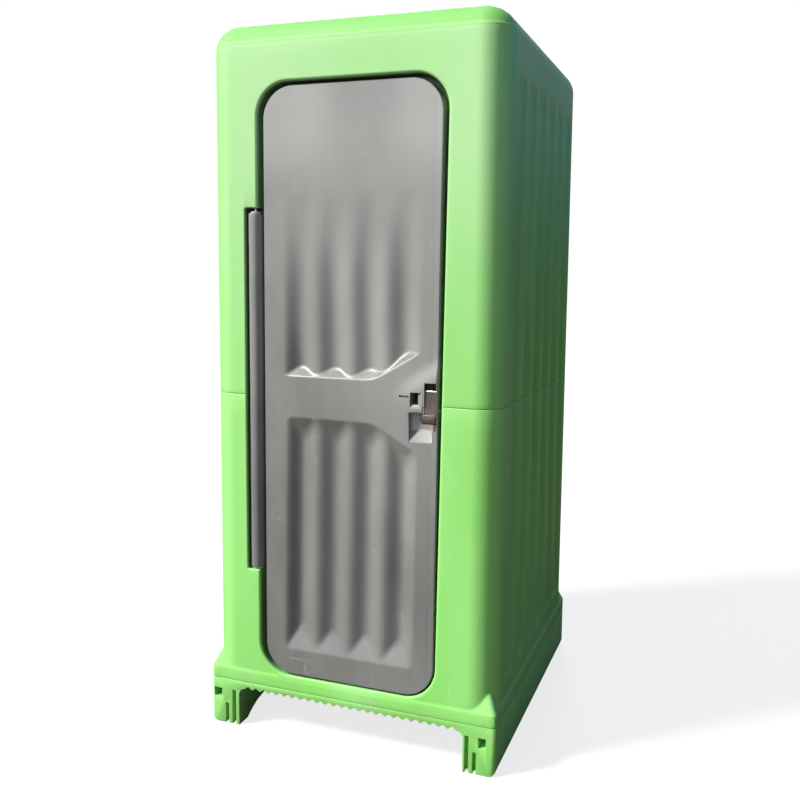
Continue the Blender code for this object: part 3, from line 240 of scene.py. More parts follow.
def moulded_green(name, dirt_and_shade_share):
    """Lime polyethylene: faint cloudiness, a skin like orange peel, rub marks, a painted sheen and painted
    shade.
    """
    material, tree = new_material(name)
    clouds = noise(tree, 3.2, 3.0, stretch=(1.0, 1.0, 0.35))
    speckle = noise(tree, 60.0)
    from_middle = arithmetic(tree, "ABSOLUTE", object_axis(tree, "X"))
    # The painted sheen and the fade lie on the flat front below the roof's edge, and thin out round the
    # corners.
    flat_front = spread(tree, from_middle, 0.480, 0.415, 0.30, 1.0)
    below_roof = ramp(tree, "Z", PARTING_HEIGHT + 0.004, PARTING_HEIGHT - 0.003, 0.25, 1.0)
    # Painted shade: the roof's rounded edge above the parting line is laid deeper green, where it catches the
    # most light.
    above_parting = ramp(tree, "Z", PARTING_HEIGHT - 0.001, PARTING_HEIGHT + 0.012, 0.0, 0.70)
    rubs = scratches(tree, (1.0, 1.0, 0.02), (0.30, 0.22, 0.0), 34.0, 0.012)
    # Towards the foot: partly real splash dirt, partly painted shade darkening the skirt.
    splashes = spread(tree, noise(tree, 14.0, 5.0, 0.65), 0.45, 0.72)
    dirt = product(tree, ramp(tree, "Z", *DIRT_AND_SHADE_HEIGHTS), splashes, dirt_and_shade_share)
    # Painted shade: the doorway's gaps round the door are laid near-black green.
    gap = [ramp(tree, "Y", *ends) for ends in GAP_DEPTHS]
    gap += [ramp(tree, "Z", *ends) for ends in GAP_HEIGHTS]
    overlay_share = product(tree, *gap, spread(tree, from_middle, *GAP_SIDE), dirt_and_shade_share * 1.6)
    # Painted shade: faces that turn upwards, and level tops most, are laid darker green.
    settled = product(tree, facing(tree, "Z", 0.25, 0.75), 0.50)
    level_top = product(tree, facing(tree, "Z", 0.90, 0.99), 0.45)
    # Painted shade: faces turned to the left, towards the key lamp, are laid deeper green.
    left_wall = product(tree, facing(tree, "X", -0.35, -0.85), 0.35)
    colour = coated(
        tree, GREEN_DEEP,
        (spread(tree, clouds, 0.35, 0.68), GREEN_PALE),
        (spread(tree, speckle, 0.30, 0.75, 0.0, 0.30), GREEN),
        (product(tree, flat_front, below_roof, fade_and_sheen(tree, 0.75, 2.0, 0.72)), GREEN_FADE_AND_SHEEN),
        (above_parting, GREEN_SHADED), (product(tree, rubs, 0.40), GREEN_RUBBED), (dirt, DUST_AND_SHADE),
        (overlay_share, GAP_SHADE), (settled, GREEN_TOP_SHADE), (level_top, GREEN_TOP_SHADE), (left_wall, GREEN_SHADED))
    roof_front = product(tree, ramp(tree, "Z", *ROOF_FRONT_HEIGHTS), facing(tree, "Y", -0.2, -0.7), 0.25)
    worn = total(
        tree, spread(tree, clouds, 0.3, 0.7, 0.38, 0.48), product(tree, dirt, 0.3), roof_front,
        product(tree, level_top, 0.65))
    sag = noise(tree, 7.0, stretch=(1.0, 1.0, 0.5))
    finished(tree, colour, worn, total(tree, product(tree, noise(tree, 420.0), 0.10), sag), 0.0020)
    return material


green_plastic = moulded_green("green_moulding", 0.45)
green_base_plastic = moulded_green("green_base_moulding", 0.50)


def link_mesh(name, mesh, material):
    piece = bpy.data.objects.new(name, mesh)
    scene.collection.objects.link(piece)
    mesh.materials.clear()
    mesh.materials.append(material)
    return piece


def smooth(piece, sharp_degrees=35):
    piece.data.shade_smooth()
    piece.data.set_sharp_from_angle(angle=math.radians(sharp_degrees))


def seat(piece, body, slot, *nodes):
    """Let a finished piece ride on its body and stand for its nodes, which are hidden. Its slot is not used.
    """
    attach(piece, body)
    if nodes:
        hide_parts(*nodes)


def softened_copy(node, ending, width, material, steps=2, sharp_degrees=35, bevel_degrees=40, end=None):
    """A node's shape with its edges rounded, up to an end along X: merged, flats joined, then bevelled."""
    bm = bmesh.new()
    bm.from_mesh(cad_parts[node].data)
    bmesh.ops.remove_doubles(bm, verts=bm.verts, dist=MERGE_DISTANCE)
    bmesh.ops.dissolve_limit(bm, angle_limit=math.radians(FLAT_DEGREES), verts=bm.verts, edges=bm.edges)
    edges = [
        edge for edge in bm.edges
        if len(edge.link_faces) == 2 and edge.calc_face_angle() > math.radians(bevel_degrees)]
    if end is not None:
        edges = [edge for edge in edges if min(vertex.co.x for vertex in edge.verts) < end]
    bmesh.ops.bevel(
        bm, geom=edges, offset=width, offset_type="OFFSET", segments=steps, profile=0.5,
        affect="EDGES", clamp_overlap=True)
    mesh = bpy.data.meshes.new(node + "_" + ending)
    bm.to_mesh(mesh)
    bm.free()
    piece = link_mesh(mesh.name, mesh, material)
    smooth(piece, sharp_degrees)
    return piece


def seat_softened(node, ending, width, material, body, slot, *details):
    """Soften a node that needs no more than that, and seat the result in its place."""
    seat(softened_copy(node, ending, width, material, *details), body, slot, node)


seat_softened("base", "moulding", BASE_EDGE, green_base_plastic, "cabin", "green_polyethylene")


def scatter_tree(name, stamp, material):
    """Stamp one small mesh on every point of a mesh, turned the way that each point faces."""
    group = bpy.data.node_groups.new(name, "GeometryNodeTree")
    group.interface.new_socket("Geometry", in_out="INPUT", socket_type="NodeSocketGeometry")
    group.interface.new_socket("Size", in_out="INPUT", socket_type="NodeSocketFloat")
    group.interface.new_socket("Geometry", in_out="OUTPUT", socket_type="NodeSocketGeometry")
    entry, leave, stamp_info, turned, way, instances, real, finish = [
        group.nodes.new(kind) for kind in (
            "NodeGroupInput", "NodeGroupOutput", "GeometryNodeObjectInfo",
            "FunctionNodeAlignRotationToVector", "GeometryNodeInputNamedAttribute",
            "GeometryNodeInstanceOnPoints", "GeometryNodeRealizeInstances", "GeometryNodeSetMaterial")]
    stamp_info.inputs["Object"].default_value = stamp
    turned.axis = "Z"
    way.data_type = "FLOAT_VECTOR"
    way.inputs["Name"].default_value = "facing"
    finish.inputs["Material"].default_value = material
    for source, output, target, entrance in (
            (entry, "Geometry", instances, "Points"), (entry, "Size", instances, "Scale"),
            (way, "Attribute", turned, "Vector"), (turned, "Rotation", instances, "Rotation"),
            (stamp_info, "Geometry", instances, "Instance"), (instances, "Instances", real, "Geometry"),
            (real, "Geometry", finish, "Geometry"), (finish, "Geometry", leave, "Geometry")):
        group.links.new(source.outputs[output], target.inputs[entrance])
    return group


def baked_from_tree(name, start_mesh, group, values, material):
    """Run a geometry tree on a mesh and keep the result as a plain mesh piece."""
    source = bpy.data.objects.new(name + "_source", start_mesh)
    scene.collection.objects.link(source)
    modifier = source.modifiers.new("tree", "NODES")
    modifier.node_group = group
    for item in group.interface.items_tree:
        if item.in_out == "INPUT" and item.name in values:
            modifier[item.identifier] = values[item.name]
    bpy.context.view_layer.update()
    mesh = bpy.data.meshes.new_from_object(
        source.evaluated_get(bpy.context.evaluated_depsgraph_get()))
    source.modifiers.remove(modifier)
    bpy.data.objects.remove(source, do_unlink=True)
    return link_mesh(name, mesh, material)


def turned_mesh(name, profile, steps, centre=(0.0, 0.0)):
    """Spin a profile of (radius, height) points about the upright axis through a centre."""
    bm = bmesh.new()
    points = [bm.verts.new((centre[0] + radius, centre[1], height)) for radius, height in profile]
    edges = [bm.edges.new(pair) for pair in zip(points, points[1:])]
    bmesh.ops.spin(
        bm, geom=points + edges, cent=(centre[0], centre[1], 0.0), axis=(0.0, 0.0, 1.0),
        angle=2 * math.pi, steps=steps, use_merge=True)
    bmesh.ops.remove_doubles(bm, verts=bm.verts, dist=0.00001)
    bmesh.ops.recalc_face_normals(bm, faces=bm.faces)
    mesh = bpy.data.meshes.new(name)
    bm.to_mesh(mesh)
    bm.free()
    mesh.shade_smooth()
    mesh.set_sharp_from_angle(angle=math.radians(40))
    return mesh


def stamped(name, stamp_mesh, places, material):
    """Copies of one small shape at (point, facing) places, joined into a plain mesh."""
    stamp = bpy.data.objects.new(name + "_stamp", stamp_mesh)
    scene.collection.objects.link(stamp)
    points = bpy.data.meshes.new(name + "_points")
    points.from_pydata([point for point, _ in places], [], [])
    ways = points.attributes.new("facing", "FLOAT_VECTOR", "POINT")
    ways.data.foreach_set("vector", [number for _, way in places for number in way])
    group = scatter_tree(name + "_tree", stamp, material)
    piece = baked_from_tree(name, points, group, {"Size": 1.0}, material)
    bpy.data.objects.remove(stamp, do_unlink=True)
    return piece


stud_profile = [
    (0.0, STUD_HEIGHT), (0.55 * STUD_RADIUS, STUD_HEIGHT), (0.85 * STUD_RADIUS, 0.7 * STUD_HEIGHT),
    (STUD_RADIUS, STUD_SUNK), (0.0, STUD_SUNK)]
stud_places = []
for row in STUD_ROWS:
    for column in STUD_COLUMNS:
        x = column * STUD_PITCH + 0.5 * STUD_PITCH * (row % 2)
        y = row * STUD_PITCH
        if abs(x) < STUD_REACH and -STUD_REACH < y < TANK_FRONT - 0.02:
            stud_places.append(((x, y, FLOOR_HEIGHT), (0.0, 0.0, 1.0)))
floor_studs = stamped("floor_studs", turned_mesh("stud", stud_profile, 10), stud_places, green_base_plastic)
seat(floor_studs, "cabin", "green_polyethylene")


# Lower shell.
# The lower cabin half: fluted walls, and rounded corners that stand on the sloped hips of a skirt.
# One green moulding, cut out for the door, with a notch in its left jamb for the hinge barrel.
SHELL_HALF = (0.495, 0.5225)
SHELL_CORNER = 0.090
SHELL_FRONT = -SHELL_HALF[1]
SKIRT_HALF = (0.500, 0.525)
SKIRT_CORNER = 0.023
SKIRT_BOTTOM = 0.1553
SKIRT_FOOT_ROUND = 0.003
SKIRT_TOP = 0.194
HIP_TOP = 0.264
HIP_INSET = 0.031
HIP_EDGE = 0.0025
HIP_BEND = 0.0012
SEAM_HEIGHT = 1.131
SEAM_ROUND = 0.0028
TONGUE_DEPTH = 0.025
TONGUE_WIDTH = 0.014
FLUTE_PITCH = 0.142
FLUTE_MOUTH = 0.055
FLUTE_FLANK = 0.019
FLUTE_FOOT = 0.034
FLUTE_TOP = 0.095
FLUTE_DEPTH = 0.015
FLUTE_COUNT = 6
LOWER_FLUTES = (0.252, 9.0, 0.69)
ROOM_HALF_WIDTH = 0.455
ROOM_FRONT = -0.455
ROOM_BACK = 0.485
ROOM_CORNER = 0.050
OPENING = (-0.312, 0.299, 0.320, 0.206, 2.108)
OPENING_CORNER = 0.105
OPENING_LIP = 0.0090
STOP_DEPTH = 0.0475
STOP_WIDTH = 0.032
STOP_ROUND = 0.003
STOP_MIDDLE_ROUND = 0.0009
NOTCH = (-0.358, -0.292, 0.550, 1.726)
NOTCH_CORNER = 0.006
NOTCH_LIP = 0.0045
CUTTER_START = (0.004, 0.016)
CUTTER_SKIN = 0.00004
SMALLEST_CORNER = 0.0006
WALLS = (
    ((0, -1), (1, 0), 60), ((1, 0), (0, 1), 170), ((0, 1), (-1, 0), 160), ((-1, 0), (0, -1), 170))
CORNER_STEPS = 26


def eased(share):
    share = np.clip(share, 0.0, 1.0)
    return share * share * (3.0 - 2.0 * share)


def soft_most(first, second, reach):
    """The larger of two lengths, with a rounded step from one to the other."""
    share = min(1.0, max(0.0, 0.5 + 0.5 * (first - second) / reach))
    return second * (1 - share) + first * share + reach * share * (1 - share)


def flute_depth(along, height, low, high, fade):
    """Depth of the wall's troughs: soft flanks, sloped ends and deepest at the seam."""
    reach = FLUTE_COUNT * FLUTE_PITCH / 2
    offset = np.abs(np.mod(along + reach, FLUTE_PITCH) - FLUTE_PITCH / 2)
    side = np.where(np.abs(along) < reach, FLUTE_MOUTH - offset, -1.0)
    end = min((height - low) / FLUTE_FOOT, (high - height) / FLUTE_TOP) * FLUTE_FLANK
    near = np.minimum(side, end)
    both = np.hypot(np.maximum(FLUTE_FLANK - side, 0.0), np.maximum(FLUTE_FLANK - end, 0.0))
    inside = np.where(near < FLUTE_FLANK, FLUTE_FLANK - both, near)
    deepest = FLUTE_DEPTH * (1.0 - fade * abs(height - SEAM_HEIGHT))
    return deepest * eased(inside / FLUTE_FLANK)


def shell_ring(height, half, corner, flutes, skirt=None):
    """One level of the shell: fluted walls and round corners, widened to the skirt where it is out."""
    points = []
    for index, (normal, along, steps) in enumerate(WALLS):
        normal = np.array(normal, float)
        along = np.array(along, float)
        here, beyond = (0, 1) if normal[0] else (1, 0)
        reach, next_half = half[here], half[beyond]
        skirt_reach, next_skirt = (skirt[here], skirt[beyond]) if skirt else (0.0, 0.0)
        straight = SHELL_HALF[beyond] - SHELL_CORNER
        marks = np.linspace(-straight, straight, steps)
        depths = flute_depth(marks, height, *flutes) if index > 0 else np.zeros_like(marks)
        for mark, depth in zip(marks, depths):
            points.append(normal * soft_most(reach - depth, skirt_reach, HIP_EDGE) + along * mark)
        run_in = next_half - corner - straight
        run_out = reach - corner - (SHELL_HALF[here] - SHELL_CORNER)
        arc = 0.5 * math.pi * corner
        length = run_in + arc + run_out
        centre = normal * (reach - corner) + along * (next_half - corner)
        for step in range(1, CORNER_STEPS):
            travelled = length * step / CORNER_STEPS
            if skirt is not None:
                angle = 0.5 * math.pi * step / CORNER_STEPS
                outward = (max(math.cos(angle), 1e-6), max(math.sin(angle), 1e-6))
                to_side = (skirt_reach - reach + corner) / outward[0]
                to_next_side = (next_skirt - next_half + corner) / outward[1]
                square = -soft_most(-to_side, -to_next_side, SKIRT_CORNER)
                span = soft_most(corner, square, HIP_EDGE)
                points.append(centre + span * (normal * math.cos(angle) + along * math.sin(angle)))
            elif travelled < run_in:
                points.append(normal * reach + along * (straight + travelled))
            elif travelled < run_in + arc:
                angle = (travelled - run_in) / corner
                points.append(centre + corner * (normal * math.cos(angle) + along * math.sin(angle)))
            else:
                rest = travelled - run_in - arc
                points.append(along * next_half + normal * (reach - corner - rest))
    return [(x, y, height) for x, y in points]


def closed_piece(name, points, faces, material):
    """A mesh piece with its faces turned outwards."""
    mesh = bpy.data.meshes.new(name)
    mesh.from_pydata(points, [], faces)
    bm = bmesh.new()
    bm.from_mesh(mesh)
    bmesh.ops.recalc_face_normals(bm, faces=bm.faces)
    bm.to_mesh(mesh)
    bm.free()
    return link_mesh(name, mesh, material)


def lofted_solid(name, rings, material):
    """Skin equal rings of points and cap both ends."""
    count = len(rings[0])
    faces = []
    for level in range(len(rings) - 1):
        for index in range(count):
            following = (index + 1) % count
            faces.append((
                level * count + index, level * count + following,
                (level + 1) * count + following, (level + 1) * count + index))
    faces.append(tuple(reversed(range(count))))
    faces.append(tuple(range((len(rings) - 1) * count, len(rings) * count)))
    return closed_piece(name, [point for ring in rings for point in ring], faces, material)


def combine(target, tool, operation="DIFFERENCE"):
    """Apply an exact Boolean to the target and use up the tool."""
    modifier = target.modifiers.new("combine", "BOOLEAN")
    modifier.operation = operation
    modifier.solver = "EXACT"
    modifier.object = tool
    result = bpy.data.meshes.new_from_object(
        target.evaluated_get(bpy.context.evaluated_depsgraph_get()))
    target.modifiers.clear()
    used = target.data
    target.data = result
    bpy.data.meshes.remove(used)
    bpy.data.objects.remove(tool, do_unlink=True)


def carve(target, rings, operation="DIFFERENCE"):
    """Cut the loft of some rings out of a piece, or join it to the piece."""
    combine(target, lofted_solid("tool", rings, target.data.materials[0]), operation)


def rounded_rectangle(rectangle, radius, steps, grow=0.0):
    """Outline of a rectangle with round corners, grown on all sides."""
    low_a, high_a, low_b, high_b = rectangle
    radius = max(radius + grow, SMALLEST_CORNER)
    low_a, low_b = low_a - grow + radius, low_b - grow + radius
    high_a, high_b = high_a + grow - radius, high_b + grow - radius
    points = []
    for a, b, start in ((high_a, low_b, -90), (high_a, high_b, 0), (low_a, high_b, 90), (low_a, low_b, 180)):
        for step in range(steps + 1):
            angle = math.radians(start + 90 * step / steps)
            points.append((a + radius * math.cos(angle), b + radius * math.sin(angle)))
    return points


def quarter(radius, steps):
    """Points of a quarter round: how far in each has come, and how far aside it still stands."""
    angles = [math.radians(90 * step / steps) for step in range(steps + 1)]
    return [(radius * (1 - math.cos(angle)), radius * (1 - math.sin(angle))) for angle in angles]


def at_depth(outline, depth):
    """An outline given across and up, as a ring at one depth."""
    return [(x, depth, z) for x, z in outline]


def room_ring(height, grow=0.0):
    room = (-ROOM_HALF_WIDTH, ROOM_HALF_WIDTH, ROOM_FRONT, ROOM_BACK)
    return [(x, y, height) for x, y in rounded_rectangle(room, ROOM_CORNER, 12, grow)]


def door_outline(size, grow, radius, steps=18):
    """Rounded outline of the door or its opening, whose right edge leans out with height."""
    left, right_low, right_high, bottom, top = size
    corners = (
        (right_low + grow, bottom - grow, 1, -1, -90), (right_high + grow, top + grow, 1, 1, 0),
        (left - grow, top + grow, -1, 1, 90), (left - grow, bottom - grow, -1, -1, 180))
    radius = radius + grow
    points = []
    for x, z, sign_x, sign_z, start in corners:
        for step in range(steps + 1):
            angle = math.radians(start + 90 * step / steps)
            points.append((
                x - sign_x * radius + radius * math.cos(angle),
                z - sign_z * radius + radius * math.sin(angle)))
    return points


def lip_levels(lip, steps):
    """Depths and widenings of a rounded lip in the shell's front, starting clear of the face."""
    clear, widening = CUTTER_START
    levels = [(SHELL_FRONT - clear, lip + widening)]
    return levels + [(SHELL_FRONT + run - CUTTER_SKIN, fall) for run, fall in quarter(lip, steps)]


def opening_rings():
    """Cutter for the doorway: a rolled lip, the leaf's rebate and the narrower way behind its stop."""
    stop = SHELL_FRONT + STOP_DEPTH
    levels = lip_levels(OPENING_LIP, 6)
    levels += [
        (stop, 0.0), (stop, -STOP_WIDTH + STOP_ROUND),
        (stop + STOP_MIDDLE_ROUND, -STOP_WIDTH + STOP_MIDDLE_ROUND), (stop + STOP_ROUND, -STOP_WIDTH),
        (ROOM_FRONT - STOP_ROUND, -STOP_WIDTH),
        (ROOM_FRONT - STOP_MIDDLE_ROUND, -STOP_WIDTH + STOP_MIDDLE_ROUND),
        (ROOM_FRONT + 0.0001, -STOP_WIDTH + STOP_ROUND), (ROOM_FRONT + 0.006, -STOP_WIDTH + 0.012)]
    return [at_depth(door_outline(OPENING, grow, OPENING_CORNER), y) for y, grow in levels]


def notch_rings():
    """Cutter for the notch that the hinge barrel lies in; its right side opens into the doorway."""
    left, right, bottom, top = NOTCH
    rings = []
    for y, grow in lip_levels(NOTCH_LIP, 4) + [(SHELL_FRONT + STOP_DEPTH - 0.0005, 0.0)]:
        grown = (left - grow, right, bottom - grow, top + grow)
        rings.append(at_depth(rounded_rectangle(grown, NOTCH_CORNER + grow, 5), y))
    return rings


def skirt_level(height):
    """Half sizes of the skirt: upright below, then sloping in until it dies into the corners."""
    below_round = 1 - min((height - SKIRT_BOTTOM) / SKIRT_FOOT_ROUND, 1.0)
    foot_round = SKIRT_FOOT_ROUND * (1.0 - math.sqrt(max(0.0, 1 - below_round ** 2)))
    slope = HIP_INSET / (HIP_TOP - SKIRT_TOP)
    inset = soft_most(0.0, (height - SKIRT_TOP) * slope, HIP_BEND) + foot_round
    return [value - inset for value in SKIRT_HALF]


def lower_shell_ring(height):
    seam_share = max(0.0, (height - SEAM_HEIGHT + SEAM_ROUND) / SEAM_ROUND)
    seam_round = SEAM_ROUND * (1 - math.sqrt(max(0.0, 1 - seam_share ** 2)))
    half = [value - seam_round for value in SHELL_HALF]
    skirt = skirt_level(height) if height < HIP_TOP + 0.010 else None
    if height < SKIRT_BOTTOM + SKIRT_FOOT_ROUND:
        half = [min(value, part) for value, part in zip(half, skirt)]
    return shell_ring(height, half, SHELL_CORNER - seam_round, LOWER_FLUTES, skirt)


lower_levels = [SKIRT_BOTTOM + run for run, _ in quarter(SKIRT_FOOT_ROUND, 3)]
lower_levels += list(np.linspace(0.170, SKIRT_TOP, 3))
lower_levels += list(np.arange(SKIRT_TOP + 0.0010, 0.212, 0.0012))
lower_levels += list(np.arange(0.2135, 0.300, 0.0025))
lower_levels += list(np.linspace(0.305, SEAM_HEIGHT - SEAM_ROUND, 12))
lower_levels += [SEAM_HEIGHT - fall for _, fall in quarter(SEAM_ROUND, 4)[1:]]
lower_rings = [lower_shell_ring(float(level)) for level in lower_levels]
lower_shell = lofted_solid("lower_shell_moulding", lower_rings, green_plastic)
carve(lower_shell, [
    room_ring(SKIRT_BOTTOM - 0.050), room_ring(SEAM_HEIGHT - TONGUE_DEPTH),
    room_ring(SEAM_HEIGHT - TONGUE_DEPTH, TONGUE_WIDTH), room_ring(SEAM_HEIGHT + 0.050, TONGUE_WIDTH)])
carve(lower_shell, opening_rings())
carve(lower_shell, notch_rings())
smooth(lower_shell, 32)
seat(lower_shell, "cabin", "green_polyethylene", "lower_shell")


# Upper shell.
# The upper cabin half with the roof moulded on; its tongue drops into the lower half's rebate.
# A fine parting line of the mould runs round it at the foot of the roof's rounded edge.
ROOF_EDGE = 2.300
ROOF_RADIUS = 0.085
ROOF_RISE = 0.006
ROOF_SLOPE_END = 0.34
CEILING = 2.270
CEILING_RADIUS = 0.045
UPPER_FLUTES = (0.0, 2.144, 0.597)
WALL_LEVELS = (1.150, 2.040, 12)
FLUTE_END_LEVELS = (2.046, 2.150, 0.006)
LAST_WALL_LEVEL = 2.180
PARTING_WIDTH = 0.0024
PARTING_PROUD = 0.0007
FIT = 0.0003
PIPE_PLACE = (0.340, 0.380)
PIPE_RADIUS = 0.045
PIPE_HOLE_RADIUS = PIPE_RADIUS + 0.0015
ROOF_BOSS_TOP = 2.312
VENT_OPENING = (-0.130, 0.130, 2.136, 2.208)


def upper_shell_ring(height, inset=0.0):
    half = [value - inset for value in SHELL_HALF]
    return shell_ring(height, half, max(SHELL_CORNER - inset, 0.004), UPPER_FLUTES)


def turned_piece(name, profile, steps, centre, material):
    """A turned solid on an upright axis, as a piece or as a tool to join or cut with."""
    return link_mesh(name, turned_mesh(name, profile, steps, centre), material)


upper_rings = [upper_shell_ring(SEAM_HEIGHT + FIT + run, fall) for run, fall in quarter(SEAM_ROUND, 4)]
upper_rings += [upper_shell_ring(float(height)) for height in np.linspace(*WALL_LEVELS)]
upper_rings += [upper_shell_ring(float(height)) for height in np.arange(*FLUTE_END_LEVELS)]
upper_rings.append(upper_shell_ring(LAST_WALL_LEVEL))
roof_start = ROOF_EDGE - ROOF_RADIUS
parting_angle = math.asin((PARTING_HEIGHT - roof_start) / ROOF_RADIUS)
spread_angle = PARTING_WIDTH / ROOF_RADIUS
roof_angles = [
    angle for angle in np.linspace(0.0, math.pi / 2, 19) if abs(angle - parting_angle) > 3 * spread_angle]
roof_angles += [parting_angle + spread_angle * step for step in (-1.5, -0.6, 0.6, 1.5)]
for angle in sorted(roof_angles):
    radius = ROOF_RADIUS + (PARTING_PROUD if abs(angle - parting_angle) < spread_angle else 0.0)
    upper_rings.append(upper_shell_ring(
        roof_start + radius * math.sin(angle), ROOF_RADIUS - radius * math.cos(angle)))
edge_ring = upper_rings[-1]
for share in (0.93, 0.82, 0.66, 0.45, 0.24, 0.06):
    rise = ROOF_EDGE + ROOF_RISE * min(1.0, (1.0 - share) / ROOF_SLOPE_END)
    upper_rings.append([(x * share, y * share, rise) for x, y, _ in edge_ring])
upper_shell = lofted_solid("upper_shell_moulding", upper_rings, green_plastic)
boss_profile = [
    (0.0, 2.285), (0.0775, 2.285), (0.0765, 2.3035), (0.0745, 2.3080), (0.0725, 2.3105),
    (0.0700, ROOF_BOSS_TOP), (0.0, ROOF_BOSS_TOP)]
combine(upper_shell, turned_piece("boss", boss_profile, 48, PIPE_PLACE, green_plastic), "UNION")
carve(upper_shell, [
    room_ring(SEAM_HEIGHT + FIT - TONGUE_DEPTH, TONGUE_WIDTH - FIT),
    room_ring(SEAM_HEIGHT + 0.020, TONGUE_WIDTH - FIT)], "UNION")
upper_room = [room_ring(SEAM_HEIGHT - 0.080), room_ring(CEILING - CEILING_RADIUS)]
upper_room += [room_ring(CEILING - fall, -run) for run, fall in quarter(CEILING_RADIUS, 5)[1:]]
carve(upper_shell, upper_room)
carve(upper_shell, opening_rings())
carve(upper_shell, notch_rings())
hole_profile = [(0.0, 2.200), (PIPE_HOLE_RADIUS, 2.200), (PIPE_HOLE_RADIUS, 2.400), (0.0, 2.400)]
combine(upper_shell, turned_piece("pipe_hole", hole_profile, 48, PIPE_PLACE, green_plastic))
vent_outline = rounded_rectangle(VENT_OPENING, 0.006, 4)
carve(upper_shell, [at_depth(vent_outline, y) for y in (ROOM_BACK - 0.040, SHELL_HALF[1] + 0.020)])
smooth(upper_shell, 32)
seat(upper_shell, "cabin", "green_polyethylene", "upper_shell")


# Seam and base bolts.
# Zinc-plated round-headed bolts with washers, put in from inside through the shells' tongue, and
# hexagon-headed screws that come up through the runners; each group is one stamped mesh.
ZINC = (0.520, 0.520, 0.530)
SPECK_RUST = (0.160, 0.075, 0.035)
SEAM_BOLT_HEIGHT = 1.1185
SEAM_BOLTS = (
    ("left_front", (-1, 0), -0.284), ("left_rear", (-1, 0), 0.284), ("right_front", (1, 0), -0.284),
    ("right_rear", (1, 0), 0.284), ("rear_left", (0, 1), -0.213), ("rear_right", (0, 1), 0.213))
BASE_BOLT = (0.466, 0.300, 0.1197)
BASE_BOLT_NAMES = ("left_front", "left_rear", "right_front", "right_rear")


def plated_steel(name, colour, roughness, wear):
    """Zinc-plated or stainless steel with a drawn grain, dull patches and specks of rust."""
    material, tree = new_material(name, 1.0)
    patches = noise(tree, 45.0, 3.0)
    dull = tuple(0.72 * part for part in colour)
    specks = spread(tree, noise(tree, 160.0, 4.0, 0.7), 0.60, 0.70, 0.0, wear)
    tint = coated(tree, colour, (spread(tree, patches, 0.35, 0.70), dull), (specks, SPECK_RUST))
    rough = total(
        tree, spread(tree, patches, 0.3, 0.7, roughness - 0.06, roughness + 0.10),
        product(tree, specks, 0.35))
    finished(tree, tint, rough, noise(tree, 900.0, stretch=(1.0, 1.0, 0.04)), 0.0002, 0.35)
    return material


zinc = plated_steel("zinc_plate", ZINC, 0.34, 0.15)
bolt_profile = [
    (0.0, 0.0046), (0.0024, 0.0046), (0.0030, 0.0034), (0.0033, 0.0046), (0.0048, 0.0042),
    (0.0062, 0.0030), (0.0067, 0.0012), (0.0086, 0.0012), (0.0088, 0.0006), (0.0088, 0.0),
    (0.0040, 0.0), (0.0040, -0.0190), (0.0, -0.0190)]
seam_bolt_places = []
for _, (way_x, way_y), offset in SEAM_BOLTS:
    if way_x:
        place = (way_x * (ROOM_HALF_WIDTH - FIT), offset, SEAM_BOLT_HEIGHT)
    else:
        place = (offset, ROOM_BACK - FIT, SEAM_BOLT_HEIGHT)
    seam_bolt_places.append((place, (-way_x, -way_y, 0)))
seam_bolts = stamped("seam_bolts", turned_mesh("seam_bolt", bolt_profile, 20), seam_bolt_places, zinc)
seat(seam_bolts, "cabin", "zinc_steel", *["seam_bolt_" + place for place, _, _ in SEAM_BOLTS])
hex_profile = [
    (0.0, 0.0052), (0.0034, 0.0056), (0.0066, 0.0056), (0.0078, 0.0048), (0.0078, 0.0012),
    (0.0090, 0.0012), (0.0090, 0.0), (0.0040, 0.0), (0.0040, -0.0640), (0.0, -0.0640)]
base_bolt_places = [
    ((side * BASE_BOLT[0], end * BASE_BOLT[1], BASE_BOLT[2]), (0, 0, -1))
    for side in (-1, 1) for end in (-1, 1)]
base_bolts = stamped("base_bolts", turned_mesh("base_bolt", hex_profile, 6), base_bolt_places, zinc)
seat(base_bolts, "cabin", "zinc_steel", *["base_bolt_" + place for place in BASE_BOLT_NAMES])


# Door leaf.
# A blow-moulded grey leaf: two fields of four deep flutes that end on sloping sills, the plain band
# between them, and a soft rise round the latch. Its long hinge barrel is moulded on the left edge.
GREY = (0.170, 0.171, 0.166)
GREY_PALE = (0.205, 0.206, 0.198)
GREY_DEEP = (0.150, 0.150, 0.148)
# Paler grey: partly sun fade, partly a painted sheen on the door's upper part and right side.
GREY_FADE_AND_SHEEN = (0.400, 0.402, 0.390)
# Darker grey, painted as shade on the sills and other faces that turn up towards the light.
LEDGE_SHADE = (0.105, 0.103, 0.096)
GREY_SCUFF = (0.500, 0.500, 0.490)
# Near black, painted as shade in the plate's pocket and as the shadow line under the plate's foot.
PAINTED_SHADOW_BLACK = (0.010, 0.010, 0.009)
PLASTIC_RUST = (0.400, 0.270, 0.220)
# Pale grey, painted as light on the scoop's left wall and back, which lie in shade.
SCOOP_PAINTED_LIGHT = (0.430, 0.435, 0.425)
SCOOP_LIGHT_BOX = ((0.200, -0.5140, 1.052), (0.233, -0.4800, 1.115))
RUST_RUN_BOX = ((0.262, -0.5230, 1.060), (0.290, -0.4900, 1.074))
